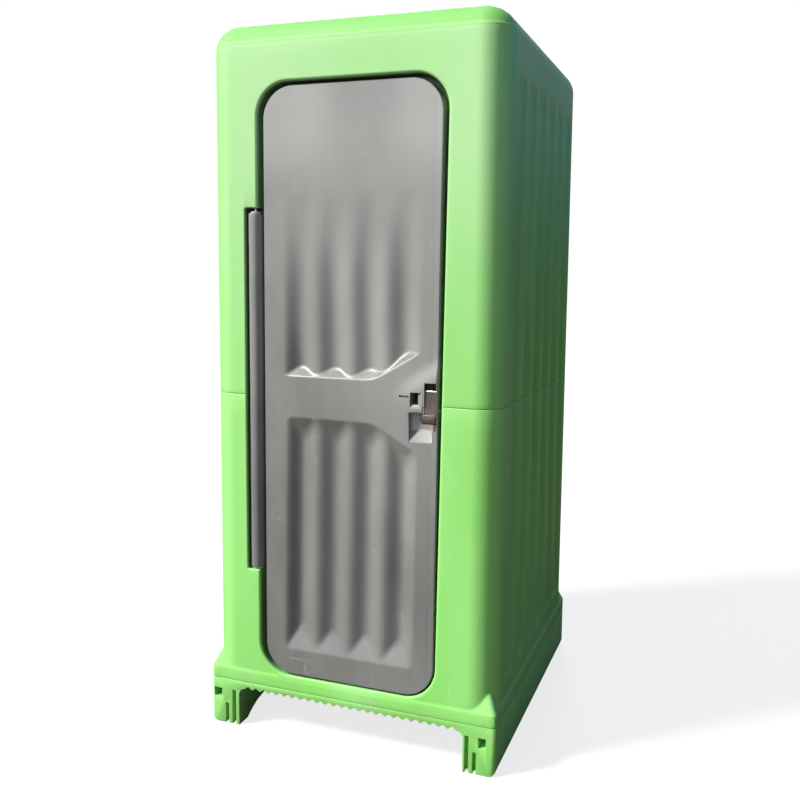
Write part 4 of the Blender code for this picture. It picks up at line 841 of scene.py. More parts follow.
# The pocket behind the latch plate, where black is painted as shade.
PLATE_HOLLOW_BOX = ((0.2540, -0.5195, 1.120), (0.2950, -0.4900, 1.204))
DOOR = (-0.291, 0.2945, 0.304, 0.211, 2.096)
DOOR_CORNER = 0.100
DOOR_FRONT = -0.5205
DOOR_BACK = -0.4775
DOOR_EDGE_ROUND = 0.008
DOOR_BACK_ROUND = 0.005
EDGE_GROOVE = (0.019, 0.0055, 0.0005)
UPPER_ZONE = (-0.224, 0.246)
LOWER_ZONE_TOP = (-0.217, 0.241)
LOWER_ZONE_FOOT = (-0.227, 0.229)
DOOR_FLUTES = 4
GROOVE_DEPTH = 0.0265
CREST_DEPTH = 0.0075
PROUD_CREST = -0.0015
BAND_MIDDLE = 1.13
BAND_BEND_X = 0.088
BAND_KNEE = (0.018, 0.0015)
UPPER_SILL = (1.199, 0.60, 1.2)
UPPER_FADE = (1.22, 1.77)
CREST_RISE = (1.22, 1.56)
LOWER_SILL = (0.298, 2.7)
LOWER_TOP = (1.067, 0.58, 2.2)
END_ROUND = 0.012
SILL_ROUND = 0.0060
FACE_ROUND = 0.0012
LATCH_SWELL = 0.0036
SWELL_LINE = 1.067
SWELL_REACH = 0.045
SWELL_PLACE = (0.245, 1.140)
SWELL_FADE = (0.065, 0.060)
MOST_PROUD = 0.0042
HINGE_PLACE = (-0.330, -0.500)
BARREL_RADIUS = 0.0225
BARREL_ROUND = 0.0025
BARREL_BOTTOM = 0.557
BARREL_TOP = 1.710
ROD_RADIUS = 0.006
BORE_RADIUS = ROD_RADIUS + 0.0005
DOOR_COLUMNS = (
    (-0.3165, -0.220, 0.008), (-0.220, 0.150, 0.004), (0.150, 0.306, 0.003), (0.306, 0.330, 0.006))
DOOR_ROWS = (
    (0.195, 0.285, 0.010), (0.285, 0.400, 0.0030), (0.400, 0.970, 0.020), (0.970, 1.330, 0.0030),
    (1.330, 1.460, 0.015), (1.460, 1.790, 0.010), (1.790, 2.112, 0.015))
BACK_PANELS = ((-0.255, 0.175, 0.330, 1.040), (-0.255, 0.175, 1.240, 1.960))
PANEL_LEVELS = ((0.006, 0.010), (0.0002, 0.0015), (-0.0016, -0.0010), (-0.0048, -0.0040), (-0.0060, -0.0075))
RAISED_FACE = DOOR_FRONT - 0.0030
SCOOP = (0.206, 0.280, 1.018, 1.107)
LATCH_POCKET = (0.2555, 0.2930, 1.055, 1.201)
WINDOW = (0.2105, 0.2335, 1.133, 1.169)
WINDOW_BEVEL = (0.2085, 0.2530, 1.1165, 1.1710)
SLIT = (0.173, 0.205, 1.154, 1.1595)
TONGUE_SLOT = (0.285, 0.320, 1.085, 1.148)
TAB_RECESS = (0.2485, 0.2670, 1.0745, 1.1290)
BEVEL_DEPTHS = (-0.5265, -0.5165)
TONGUE_SLOT_DEPTHS = (-0.5150, -0.5100)
TAB_RECESS_DEPTHS = (-0.5300, -0.5214)


def soft_least(first, second, reach):
    """The smaller of two fields, with their meeting line rounded."""
    share = np.clip(0.5 + 0.5 * (second - first) / reach, 0.0, 1.0)
    return second * (1 - share) + first * share - reach * share * (1 - share)


def groove_wave(x, left, right, groove, crest):
    """The flutes' depth across the door, level with its face at both outer edges."""
    turns = DOOR_FLUTES * (x - left) / (right - left)
    wave = 0.5 - 0.5 * np.cos(2 * math.pi * turns)
    border = (turns < 0.5) | (turns > DOOR_FLUTES - 0.5)
    crest = np.where(border, 0.0, crest)
    depth = crest + (groove - crest) * wave
    return np.where((turns > 0) & (turns < DOOR_FLUTES), depth, 0.0)


def soft_bend(x):
    """Zero left of the bend, rising right of it, with a rounded knee."""
    knee, sunk = BAND_KNEE
    offset = x - BAND_BEND_X
    return 0.5 * (offset + np.sqrt(offset * offset + knee ** 2)) - sunk


def latch_swell(x, z):
    """The soft blister round the latch, whose upper side lies along the shelf's sloping end."""
    off_line = z - UPPER_SILL[1] * x - SWELL_LINE
    side = eased(np.clip(0.5 - off_line / (2 * SWELL_REACH), 0.0, 1.0))
    left = np.minimum(x - SWELL_PLACE[0], 0.0) / SWELL_FADE[0]
    below = np.minimum(z - SWELL_PLACE[1], 0.0) / SWELL_FADE[1]
    return LATCH_SWELL * side * np.exp(-left ** 2 - below ** 2)


def edge_groove(x, z):
    """A faint groove inside the free edge, which leaves the rim standing as a bead."""
    inset, reach, depth = EDGE_GROOVE
    edge = DOOR[1] + (DOOR[2] - DOOR[1]) * (z - DOOR[3]) / (DOOR[4] - DOOR[3])
    return depth * np.exp(-((edge - x - inset) / reach) ** 2)


def door_relief(x, z):
    """Depth of the door's front below its face at each point."""
    sill, rise, slope = UPPER_SILL
    upper_floor = (z - (sill + rise * soft_bend(x))) / slope
    fade = np.clip((UPPER_FADE[1] - z) / (UPPER_FADE[1] - UPPER_FADE[0]), 0.0, 1.0)
    risen = eased((z - CREST_RISE[0]) / (CREST_RISE[1] - CREST_RISE[0]))
    settled = 1.0 - eased((z - CREST_RISE[1]) / (UPPER_FADE[1] - CREST_RISE[1]))
    crest = (CREST_DEPTH + (PROUD_CREST - CREST_DEPTH) * risen) * settled
    upper = groove_wave(x, *UPPER_ZONE, GROOVE_DEPTH * fade, crest)
    upper = soft_least(upper, upper_floor, SILL_ROUND)
    lower_sill, lower_slope = LOWER_SILL
    top, drop, undercut = LOWER_TOP
    lower_floor = (z - lower_sill) / lower_slope
    lower_end = (top - drop * soft_bend(x) - z) / undercut
    lean = (z - lower_sill) / (top - lower_sill)
    left, right = [
        foot_x + (top_x - foot_x) * lean for foot_x, top_x in zip(LOWER_ZONE_FOOT, LOWER_ZONE_TOP)]
    lower = groove_wave(x, left, right, GROOVE_DEPTH, CREST_DEPTH)
    lower = soft_least(soft_least(lower, lower_floor, SILL_ROUND), lower_end, END_ROUND)
    lower = -soft_least(-lower, np.zeros_like(lower), FACE_ROUND)
    on_face = -soft_least(-upper, np.zeros_like(upper), FACE_ROUND)
    upper = np.where(upper_floor > 0.003, upper, on_face)
    depth = np.where(z > BAND_MIDDLE, upper, lower)
    warp = 0.00035 * np.sin(9.0 * x + 1.3) * np.sin(5.0 * z) + 0.00025 * np.sin(23.0 * x + 7.0 * z)
    return depth + edge_groove(x, z) - latch_swell(x, z) + warp


def graded(spans):
    """Grid positions with their own spacing in each span, ends shared."""
    positions = [spans[0][0]]
    for start, end, spacing in spans:
        steps = max(1, round((end - start) / spacing))
        positions += list(np.linspace(start, end, steps + 1))[1:]
    return np.array(positions)


def slab(name, xs, zs, front, back, material):
    """A closed slab whose front is a height field over a grid and whose back is flat."""
    columns, rows = len(xs), len(zs)
    points = [(xs[column], front[row, column], zs[row]) for row in range(rows) for column in range(columns)]
    points += [(x, back, z) for z in zs for x in xs]
    size = columns * rows
    faces = []
    for row in range(rows - 1):
        for column in range(columns - 1):
            first = row * columns + column
            faces.append((first, first + 1, first + columns + 1, first + columns))
            second = size + first
            faces.append((second, second + columns, second + columns + 1, second + 1))
    rim = list(range(columns)) + [row * columns + columns - 1 for row in range(1, rows)]
    rim += [(rows - 1) * columns + column for column in range(columns - 2, -1, -1)]
    rim += [row * columns for row in range(rows - 2, 0, -1)]
    for point, following in zip(rim, rim[1:] + rim[:1]):
        faces.append((point, size + point, size + following, following))
    return closed_piece(name, points, faces, material)


def latch_coats(tree, clouds):
    """Round the latch: a paler blister, painted light in the scoop's shaded left part, painted shade in the
    plate's pocket and a rust run off the plate.
    """
    sloping = product(tree, object_axis(tree, "X"), UPPER_SILL[1])
    height = arithmetic(tree, "SUBTRACT", object_axis(tree, "Z"), sloping)
    off_line = arithmetic(tree, "ABSOLUTE", arithmetic(tree, "SUBTRACT", height, SWELL_LINE))
    ridge = product(tree, spread(tree, off_line, SWELL_REACH, 0.0), ramp(tree, "X", 0.140, 0.230, 0.0, 0.85))
    run = product(tree, inside_box(tree, *RUST_RUN_BOX, 0.0060), spread(tree, clouds, 0.30, 0.60, 0.35, 0.75))
    return (
        (ridge, GREY_FADE_AND_SHEEN), (inside_box(tree, *SCOOP_LIGHT_BOX, 0.0040), SCOOP_PAINTED_LIGHT), (run, PLASTIC_RUST),
        # Painted shade: the pocket behind the plate is laid near black.
        (inside_box(tree, *PLATE_HOLLOW_BOX, 0.0010), PAINTED_SHADOW_BLACK))


def moulded_grey(name, deep, middle, pale, streaks=1.0):
    """Grey polyethylene: cloudy tone, rain streaks, sun fade with a painted sheen, painted shade on the
    ledges and thin scratches.
    """
    material, tree = new_material(name)
    clouds = noise(tree, 5.0, 4.0, 0.6, (1.0, 1.0, 0.45))
    runs = noise(tree, 40.0, 3.0, stretch=(1.0, 1.0, 0.05))
    # Painted sheen with the fade: stronger towards the right edge, and at the top stronger to both sides of a
    # darker middle.
    across = ramp(tree, "X", -0.28, 0.26, 0.70, 1.05)
    off_middle = arithmetic(tree, "SUBTRACT", object_axis(tree, "X"), 0.035)
    beside = spread(tree, arithmetic(tree, "ABSOLUTE", off_middle), 0.01, 0.19, 0.12, 1.0)
    upright = scratches(tree, (1.0, 1.0, 0.02), (0.0, 0.22, 0.0), 40.0, 0.014)
    level = scratches(tree, (0.03, 1.0, 1.0), (0.0, 0.30, 0.0), 36.0, 0.012)
    lines = arithmetic(tree, "MAXIMUM", upright, level)
    colour = coated(
        tree, deep,
        (spread(tree, clouds, 0.32, 0.70), pale),
        (spread(tree, runs, 0.35, 0.75, 0.0, 0.55 * streaks), middle),
        (product(tree, fade_and_sheen(tree, 0.6, 1.35, 0.42), across), GREY_FADE_AND_SHEEN),
        (product(tree, fade_and_sheen(tree, 1.76, 1.96, 0.62), beside), GREY_FADE_AND_SHEEN),
        # Painted shade: faces turned halfway up, the sills most, are laid darker grey.
        (product(tree, facing(tree, "Z", 0.42, 0.58), 0.85), LEDGE_SHADE),
        *latch_coats(tree, clouds),
        (product(tree, lines, 0.28), GREY_SCUFF))
    sag = noise(tree, 11.0, stretch=(1.0, 1.0, 0.6))
    skin = total(tree, product(tree, noise(tree, 380.0), 0.12), sag)
    skin = arithmetic(tree, "SUBTRACT", skin, product(tree, lines, 0.15))
    finished(tree, colour, spread(tree, clouds, 0.30, 0.70, 0.34, 0.42), skin, 0.0016)
    return material


def pillow_rings(front, front_round):
    """The door's outer envelope with rounded front and back edges."""
    levels = [(front + run, -fall) for run, fall in quarter(front_round, 7)]
    levels += [(DOOR_BACK - fall, -run) for run, fall in quarter(DOOR_BACK_ROUND, 4)]
    return [at_depth(door_outline(DOOR, grow, DOOR_CORNER), y) for y, grow in levels]


def pocket_rings(rectangle, corner, depth, lip, floor_round, rise=0.0, mouth=RAISED_FACE):
    """Cutter for a pocket with a rolled mouth, upright sides and a filleted floor."""
    left, right, bottom, top = rectangle
    levels = [(mouth - 0.0080, lip + 0.012)]
    levels += [(mouth + run - 0.0010, fall) for run, fall in quarter(lip, 3)]
    levels += [(mouth + depth - fall, -run) for run, fall in quarter(floor_round, 3)]
    rings = []
    for y, grow in levels:
        foot = bottom + rise * max(0.0, (y - mouth) / depth)
        rings.append(at_depth(rounded_rectangle((left, right, foot, top), corner, 5, grow), y))
    return rings


grey_plastic = moulded_grey("grey_moulding", GREY_DEEP, GREY, GREY_PALE)
door_columns = graded(DOOR_COLUMNS)
door_rows = graded(DOOR_ROWS)
front_field = DOOR_FRONT + door_relief(*np.meshgrid(door_columns, door_rows))
door_leaf = slab("door_leaf", door_columns, door_rows, front_field, DOOR_BACK + 0.010, grey_plastic)
carve(door_leaf, pillow_rings(DOOR_FRONT - MOST_PROUD, DOOR_EDGE_ROUND + MOST_PROUD), "INTERSECT")
carve(door_leaf, [
    at_depth(rounded_rectangle(size, 0.0015, 3), y)
    for size, y in zip((WINDOW_BEVEL, WINDOW), BEVEL_DEPTHS)])
for panel in BACK_PANELS:
    carve(door_leaf, [
        at_depth(rounded_rectangle(panel, 0.045, 8, grow), DOOR_BACK + out) for out, grow in PANEL_LEVELS])
carve(door_leaf, pocket_rings(SCOOP, 0.004, 0.022, 0.0020, 0.002, 0.037, DOOR_FRONT))
carve(door_leaf, pocket_rings(LATCH_POCKET, 0.0012, 0.016, 0.0012, 0.001))
carve(door_leaf, pocket_rings(WINDOW, 0.0010, 0.060, 0.0004, 0.0002, mouth=RAISED_FACE - 0.001))
carve(door_leaf, pocket_rings(SLIT, 0.0020, 0.010, 0.0006, 0.0005))
for size, corner, depths in (
        (TONGUE_SLOT, 0.0008, TONGUE_SLOT_DEPTHS), (TAB_RECESS, 0.0012, TAB_RECESS_DEPTHS)):
    carve(door_leaf, [at_depth(rounded_rectangle(size, corner, 3), y) for y in depths])
smooth(door_leaf, 40)
barrel_end = quarter(BARREL_ROUND, 4)
barrel_profile = [(BORE_RADIUS, BARREL_BOTTOM)]
barrel_profile += [(BARREL_RADIUS - fall, BARREL_BOTTOM + run) for run, fall in barrel_end]
for height in np.linspace(BARREL_BOTTOM + 0.02, BARREL_TOP - 0.02, 24):
    barrel_profile.append((BARREL_RADIUS + 0.0002 * math.sin(31.0 * height), float(height)))
barrel_profile += [(BARREL_RADIUS - fall, BARREL_TOP - run) for run, fall in reversed(barrel_end)]
barrel_profile += [(BORE_RADIUS, BARREL_TOP), (BORE_RADIUS, BARREL_BOTTOM)]
hinge_barrel = turned_piece("hinge_barrel", barrel_profile, 40, HINGE_PLACE, grey_plastic)
seat(door_leaf, "door", "grey_polyethylene", "door")
seat(hinge_barrel, "door", "grey_polyethylene")


# Hinge rod and bushes.
# A round steel rod with a rounded end runs through the barrel and into both shells; the door turns
# on it between two nylon bushes.
STAINLESS = (0.560, 0.545, 0.520)
ROD_BOTTOM = 0.500
ROD_TOP = 1.7855
BUSH_PLACES = (("hinge_bush_lower", 0.5503, 0.5567), ("hinge_bush_upper", 1.7103, 1.7145))
BUSH_RADII = (0.0064, 0.0152, 0.0165)
BUSH_EDGE = 0.0012
NYLON = (0.620, 0.605, 0.560)
NYLON_DIRT = (0.250, 0.230, 0.200)


def plain_plastic(name, colour, dirt, roughness, grain_scale, grain_depth):
    """Small mouldings: a slightly uneven tone, grime in patches and a fine grained skin."""
    material, tree = new_material(name)
    clouds = noise(tree, 18.0, 3.0, 0.6)
    pale = tuple(min(1.0, 1.18 * part + 0.004) for part in colour)
    overlay_share = spread(tree, noise(tree, 42.0, 4.0, 0.7), 0.56, 0.74, 0.0, 0.55)
    tint = coated(tree, colour, (spread(tree, clouds, 0.35, 0.70), pale), (overlay_share, dirt))
    rough = spread(tree, clouds, 0.3, 0.7, roughness - 0.05, roughness + 0.08)
    finished(tree, tint, rough, noise(tree, grain_scale), grain_depth)
    return material


stainless = plated_steel("stainless_rod", STAINLESS, 0.26, 0.20)
nylon = plain_plastic("nylon_bush", NYLON, NYLON_DIRT, 0.45, 700.0, 0.0002)
rod_profile = [(0.0, ROD_BOTTOM), (ROD_RADIUS - 0.0008, ROD_BOTTOM), (ROD_RADIUS, ROD_BOTTOM + 0.0008)]
rod_profile += [(ROD_RADIUS, float(height)) for height in np.linspace(0.52, ROD_TOP - 0.003, 12)]
rod_profile += [(ROD_RADIUS - 0.0010, ROD_TOP - 0.001), (0.0, ROD_TOP)]
hinge_rod = turned_piece("hinge_rod_turned", rod_profile, 32, HINGE_PLACE, stainless)
seat(hinge_rod, "cabin", "stainless_steel", "hinge_rod")
bore, shoulder, rim = BUSH_RADII
for bush_name, bush_low, bush_high in BUSH_PLACES:
    bush_profile = [
        (bore, bush_low), (shoulder, bush_low), (rim, bush_low + BUSH_EDGE), (rim, bush_high - BUSH_EDGE),
        (shoulder, bush_high), (bore, bush_high), (bore, bush_low)]
    bush = turned_piece(bush_name + "_turned", bush_profile, 32, HINGE_PLACE, nylon)
    seat(bush, "cabin", "nylon", bush_name)


# Latch plate and strike.
# A pressed stainless plate, weathered brown, that is lifted with a fingertip in the scoop below it.
# Its foot is hooked forward; the folded strike is riveted to the jamb.
WEATHERED = (0.085, 0.068, 0.061)
WEATHERED_PALE = (0.215, 0.182, 0.165)
WORN_STEEL = (0.620, 0.580, 0.540)
# Bare steel on the plate's upward faces, which also stands in as a painted glint.
BARE_STEEL_AND_GLINT = (0.620, 0.600, 0.570)
RUST = (0.120, 0.058, 0.032)
# Where the shadow line under the plate's foot is painted.
FOOT_EDGE_BOX = ((0.245, -0.5300, 1.0760), (0.295, -0.5000, 1.0795))
PLATE_TOP = 1.178
PLATE_FRONT = -0.5190
PLATE_SIDES = (0.250, 0.300)
CHAMFER = (0.0010, 0.0044, 0.0020)


def weathered_steel(name):
    """Brushed plate gone brown: drawn grain, pale worn spots, rust creeping from the edges, bare steel on its
    upward faces that is also a painted glint, and a painted shadow line under its foot.
    """
    material, tree = new_material(name, 0.85)
    brushed = noise(tree, 520.0, 3.0, 0.6, (1.0, 1.0, 0.05))
    stains = noise(tree, 95.0, 4.0, 0.65)
    worn = noise(tree, 210.0)
    tint = coated(
        tree, WEATHERED,
        (spread(tree, brushed, 0.30, 0.72), WEATHERED_PALE),
        (spread(tree, stains, 0.50, 0.68, 0.0, 0.75), RUST),
        (spread(tree, worn, 0.64, 0.74, 0.0, 0.7), WORN_STEEL),
        # Painted glint with the wear: the upward chamfer is laid bright bare steel.
        (facing(tree, "Z", 0.30, 0.42), BARE_STEEL_AND_GLINT),
        # Painted shadow: a thin black line along the foot's lower edge.
        (inside_box(tree, *FOOT_EDGE_BOX, 0.0008), PAINTED_SHADOW_BLACK))
    finished(tree, tint, spread(tree, stains, 0.40, 0.68, 0.34, 0.70), total(tree, brushed, stains), 0.0003)
    return material


weathered = weathered_steel("weathered_plate")
latch_plate = softened_copy("latch_plate", "pressed", 0.0005, weathered, 2, 30, 30)
clear, chamfer_drop, chamfer_depth = CHAMFER
carve(latch_plate, [
    [(x, PLATE_FRONT - clear, PLATE_TOP - chamfer_drop), (x, PLATE_FRONT - clear, PLATE_TOP + clear),
     (x, PLATE_FRONT + chamfer_depth, PLATE_TOP + clear)] for x in PLATE_SIDES])
seat(latch_plate, "latch", "stainless_steel", "latch_plate")
seat_softened("latch_strike", "folded", 0.0004, weathered, "cabin", "stainless_steel", 2, 30, 30)


# Latch case, bolt, knob, flag and keeper.
# The parts on the door's inner face: a black cover with screws, a plated bolt with a turned thumb
# knob, the red and green flag that shows in the window, and the bridge the bolt slides into.
CASE = (0.150, 0.272, 1.118, 1.182)
CASE_INNER_FACE = -0.4415
CASE_SOFT_END = 0.266
BOLT_LEVEL = 1.150
KNOB_PLACE = (0.176, -0.4458, BOLT_LEVEL)
KNOB_GRIPS = 12
KNOB_GRIP_DEPTH = 0.045
FLAG_MIDDLE = (0.2108, 0.2112)
FLAG_RED = ((0.50, 0.020, 0.018), (0.62, 0.070, 0.050))
FLAG_GREEN = ((0.020, 0.045, 0.025), (0.035, 0.075, 0.040))
BLACK = (0.022, 0.022, 0.024)
BLACK_DUST = (0.110, 0.105, 0.098)


def flag_finish(name):
    """Two flat colours side by side, each a little faded, with fine scuffs."""
    material, tree = new_material(name)
    fade = spread(tree, noise(tree, 60.0, 3.0), 0.35, 0.7)
    red, green = [coated(tree, fresh, (fade, faded)) for fresh, faded in (FLAG_RED, FLAG_GREEN)]
    side = ramp(tree, "X", *FLAG_MIDDLE, 0.0, 1.0, "LINEAR")
    finished(tree, coated(tree, red, (side, green)), 0.40, noise(tree, 800.0), 0.0002, 0.4)
    return material


black_plastic = plain_plastic("black_moulding", BLACK, BLACK_DUST, 0.46, 520.0, 0.0004)
seat_softened(
    "latch_case", "moulded", 0.0009, black_plastic, "door", "black_plastic", 3, 35, 50, CASE_SOFT_END)
seat_softened("privacy_bolt", "slide", 0.0012, zinc, "bolt", "zinc_steel", 3)
seat_softened("indicator_flag", "card", 0.0002, flag_finish("flag_card"), "bolt", "flag_plastic", 1)
seat_softened("bolt_keeper", "bridge", 0.0005, zinc, "cabin", "zinc_steel", 2, 30, 25)
knob_profile = [
    (0.0, 0.0190), (0.0095, 0.0188), (0.0122, 0.0178), (0.0136, 0.0160), (0.0140, 0.0140),
    (0.0140, 0.0095), (0.0132, 0.0072), (0.0110, 0.0060), (0.0046, 0.0055), (0.0045, 0.0004), (0.0, 0.0004)]
knob_mesh = turned_mesh("knob", knob_profile, 36)
for vertex in knob_mesh.vertices:
    reach = math.hypot(vertex.co.x, vertex.co.y)
    if reach > 0.0125 and vertex.co.z > 0.008:
        turn = math.atan2(vertex.co.y, vertex.co.x)
        shrink = 1.0 - KNOB_GRIP_DEPTH * (0.5 - 0.5 * math.cos(KNOB_GRIPS * turn))
        vertex.co.x *= shrink
        vertex.co.y *= shrink
bolt_knob = stamped("bolt_knob_turned", knob_mesh, [(KNOB_PLACE, (0, 1, 0))], black_plastic)
seat(bolt_knob, "bolt", "black_plastic", "bolt_knob")


def screw_group(name, radius, height, steps, places, way, body, material, slot):
    """Round-headed screws with a small socket in the middle and a short shank below, facing one way."""
    profile = [
        (0.0, 0.35 * height), (0.30 * radius, 0.35 * height), (0.36 * radius, height),
        (0.62 * radius, 0.94 * height), (0.88 * radius, 0.62 * height), (radius, 0.15 * height),
        (radius, -0.0002), (0.40 * radius, -0.0002), (0.40 * radius, -0.0030), (0.0, -0.0030)]
    screws = stamped(name, turned_mesh(name, profile, steps), [(place, way) for place in places], material)
    seat(screws, body, slot)


case_left, case_right, case_bottom, case_top = CASE
screw_group(
    "case_screws", 0.0032, 0.0019, 16,
    [(x, CASE_INNER_FACE - 0.0001, z) for x in (case_left + 0.009, case_right - 0.011)
     for z in (case_bottom + 0.009, case_top - 0.009)], (0, 1, 0), "door", zinc, "zinc_steel")
screw_group(
    "keeper_screws", 0.0027, 0.0015, 16,
    [(0.295, CASE_INNER_FACE - 0.0001, z) for z in (1.1335, 1.1665)], (0, 1, 0), "cabin", zinc, "zinc_steel")


# Pull handle, coat hook and bumpers.
# A bent black grab handle on two round feet and a plated hook on the door's inner face, and the
# rubber buttons on the stop that the closed door rests against.
DOOR_INSIDE = DOOR_BACK + 0.0003
HANDLE_X = 0.215
HANDLE_HEIGHTS = (0.800, 0.960)
HANDLE_REACH = 0.042
HANDLE_RADIUS = 0.008
HANDLE_BEND = 0.022
HOOK_X, HOOK_Z = -0.040, 2.010
HOOK_PLATE = (HOOK_X - 0.014, HOOK_X + 0.014, HOOK_Z - 0.032, HOOK_Z + 0.032)
HOOK_LEVELS = ((0.0, 0.0), (0.0022, 0.0), (0.0030, -0.0008))
RUBBER = (0.020, 0.020, 0.020)
RUBBER_DUST = (0.090, 0.085, 0.080)
BUMPERS = (("door_bumper_lower", 0.460), ("door_bumper_upper", 1.800))
BUMPER_INSET = 0.022
STOP_FACE = SHELL_FRONT + STOP_DEPTH


def swept_tube(name, corners, radius, bend, material, round_steps=8):
    """A round bar that follows straight runs joined by bends of one radius."""
    path = [Vector(corners[0])]
    for before, corner, after in zip(corners, corners[1:], corners[2:]):
        before, corner, after = Vector(before), Vector(corner), Vector(after)
        into = (corner - before).normalized()
        out_of = (after - corner).normalized()
        half_turn = into.angle(out_of) / 2
        start = corner - into * bend * math.tan(half_turn)
        inward = (out_of - into).normalized()
        centre = corner + inward * bend / math.cos(half_turn)
        first = start - centre
        axis = into.cross(out_of).normalized()
        for step in range(round_steps + 1):
            path.append(centre + Matrix.Rotation(2 * half_turn * step / round_steps, 3, axis) @ first)
    path.append(Vector(corners[-1]))
    curve = bpy.data.curves.new(name, "CURVE")
    curve.dimensions = "3D"
    curve.bevel_depth = radius
    curve.bevel_resolution = 5
    curve.use_fill_caps = True
    spline = curve.splines.new("POLY")
    spline.points.add(len(path) - 1)
    for point, place in zip(spline.points, path):
        point.co = (*place, 1.0)
        point.radius = 1.0
    holder = bpy.data.objects.new(name + "_curve", curve)
    scene.collection.objects.link(holder)
    bpy.context.view_layer.update()
    mesh = bpy.data.meshes.new_from_object(holder.evaluated_get(bpy.context.evaluated_depsgraph_get()))
    bpy.data.objects.remove(holder, do_unlink=True)
    bm = bmesh.new()
    bm.from_mesh(mesh)
    bmesh.ops.remove_doubles(bm, verts=bm.verts, dist=0.00001)
    bmesh.ops.recalc_face_normals(bm, faces=bm.faces)
    bm.to_mesh(mesh)
    bm.free()
    tube = link_mesh(name, mesh, material)
    smooth(tube, 40)
    return tube


handle_low, handle_high = HANDLE_HEIGHTS
handle_corners = [(HANDLE_X, DOOR_INSIDE, handle_low)]
handle_corners += [(HANDLE_X, DOOR_INSIDE + HANDLE_REACH, height) for height in HANDLE_HEIGHTS]
handle_corners.append((HANDLE_X, DOOR_INSIDE, handle_high))
pull_handle = swept_tube("pull_handle_bar", handle_corners, HANDLE_RADIUS, HANDLE_BEND, black_plastic)
seat(pull_handle, "door", "black_plastic", "pull_handle")
foot_profile = [
    (0.0, 0.0036), (0.0090, 0.0036), (0.0100, 0.0030), (0.0108, 0.0022), (0.0112, 0.0), (0.0, 0.0)]
handle_feet = stamped(
    "handle_feet", turned_mesh("handle_foot", foot_profile, 28),
    [((HANDLE_X, DOOR_INSIDE, height), (0, 1, 0)) for height in HANDLE_HEIGHTS], black_plastic)
seat(handle_feet, "door", "black_plastic")
hook_rings = [
    at_depth(rounded_rectangle(HOOK_PLATE, 0.006, 6, grow), DOOR_INSIDE + out) for out, grow in HOOK_LEVELS]
coat_hook = lofted_solid("coat_hook_plate", hook_rings, zinc)
hook_corners = (
    (HOOK_X, DOOR_INSIDE + 0.001, HOOK_Z - 0.016), (HOOK_X, DOOR_INSIDE + 0.036, HOOK_Z - 0.020),
    (HOOK_X, DOOR_INSIDE + 0.042, HOOK_Z + 0.018))
combine(coat_hook, swept_tube("hook_stem", hook_corners, 0.0045, 0.012, zinc), "UNION")
smooth(coat_hook, 40)
seat(coat_hook, "door", "zinc_steel", "coat_hook")
screw_group(
    "hook_screws", 0.0035, 0.0018, 16,
    [(HOOK_X, DOOR_INSIDE + 0.0029, HOOK_Z + offset) for offset in (-0.0265, 0.024)], (0, 1, 0),
    "door", zinc, "zinc_steel")
rubber = plain_plastic("black_rubber", RUBBER, RUBBER_DUST, 0.72, 360.0, 0.0005)
bumper_profile = [
    (0.0, 0.0021), (0.0050, 0.0020), (0.0064, 0.0014), (0.0070, 0.0004), (0.0070, 0.0), (0.0, 0.0)]
for bumper_name, bumper_height in BUMPERS:
    lean = (bumper_height - OPENING[3]) / (OPENING[4] - OPENING[3])
    bumper_x = OPENING[1] + (OPENING[2] - OPENING[1]) * lean - BUMPER_INSET
    bumper = stamped(
        bumper_name + "_button", turned_mesh("button", bumper_profile, 24),
        [((bumper_x, STOP_FACE - FIT, bumper_height), (0, -1, 0))], rubber)
    seat(bumper, "cabin", "rubber", bumper_name)


# Waste tank, seat and lid.
# The bench is a dark rotation-moulded tank with a sloped front and a raised rim for the seat; the
# oval seat ring is screwed down, and the domed lid turns on a steel rod between two posts.
TANK = (0.080, 0.086, 0.092)
TANK_MIDDLE = (0.095, 0.101, 0.108)
TANK_PALE = (0.115, 0.122, 0.130)
SEAT_BLACK = (0.030, 0.030, 0.032)
SEAT_DUST = (0.100, 0.098, 0.090)
SEAT_Y = 0.212
SEAT_OVAL = (0.1475, 0.170)
SEAT_HALF_WIDTHS = (0.0375, 0.0300)
SEAT_BOTTOM = 0.622
SEAT_HEIGHT = 0.0215
SEAT_STEPS = 112
SEAT_SCREW_DEGREES = (62, 118, 242, 298)
LID_BOTTOM = 0.6447
LID_STEPS = 96
LID_AXIS = (0.432, 0.655)
KNUCKLE_RADIUS = 0.0095
KNUCKLE_HALF_LENGTH = 0.084
LID_ROD = (0.0040, 0.110)


def oval(half_x, half_y, height, steps):
    angles = [2 * math.pi * step / steps for step in range(steps)]
    return [(half_x * math.cos(angle), SEAT_Y + half_y * math.sin(angle), height) for angle in angles]


def pin_profile(radius, half_length, chamfer, chamfer_run):
    """A straight pin with a small chamfer at both ends."""
    shaft_end = half_length - chamfer_run
    return [
        (0.0, -half_length), (radius - chamfer, -half_length), (radius, -shaft_end), (radius, shaft_end),
        (radius - chamfer, half_length), (0.0, half_length)]


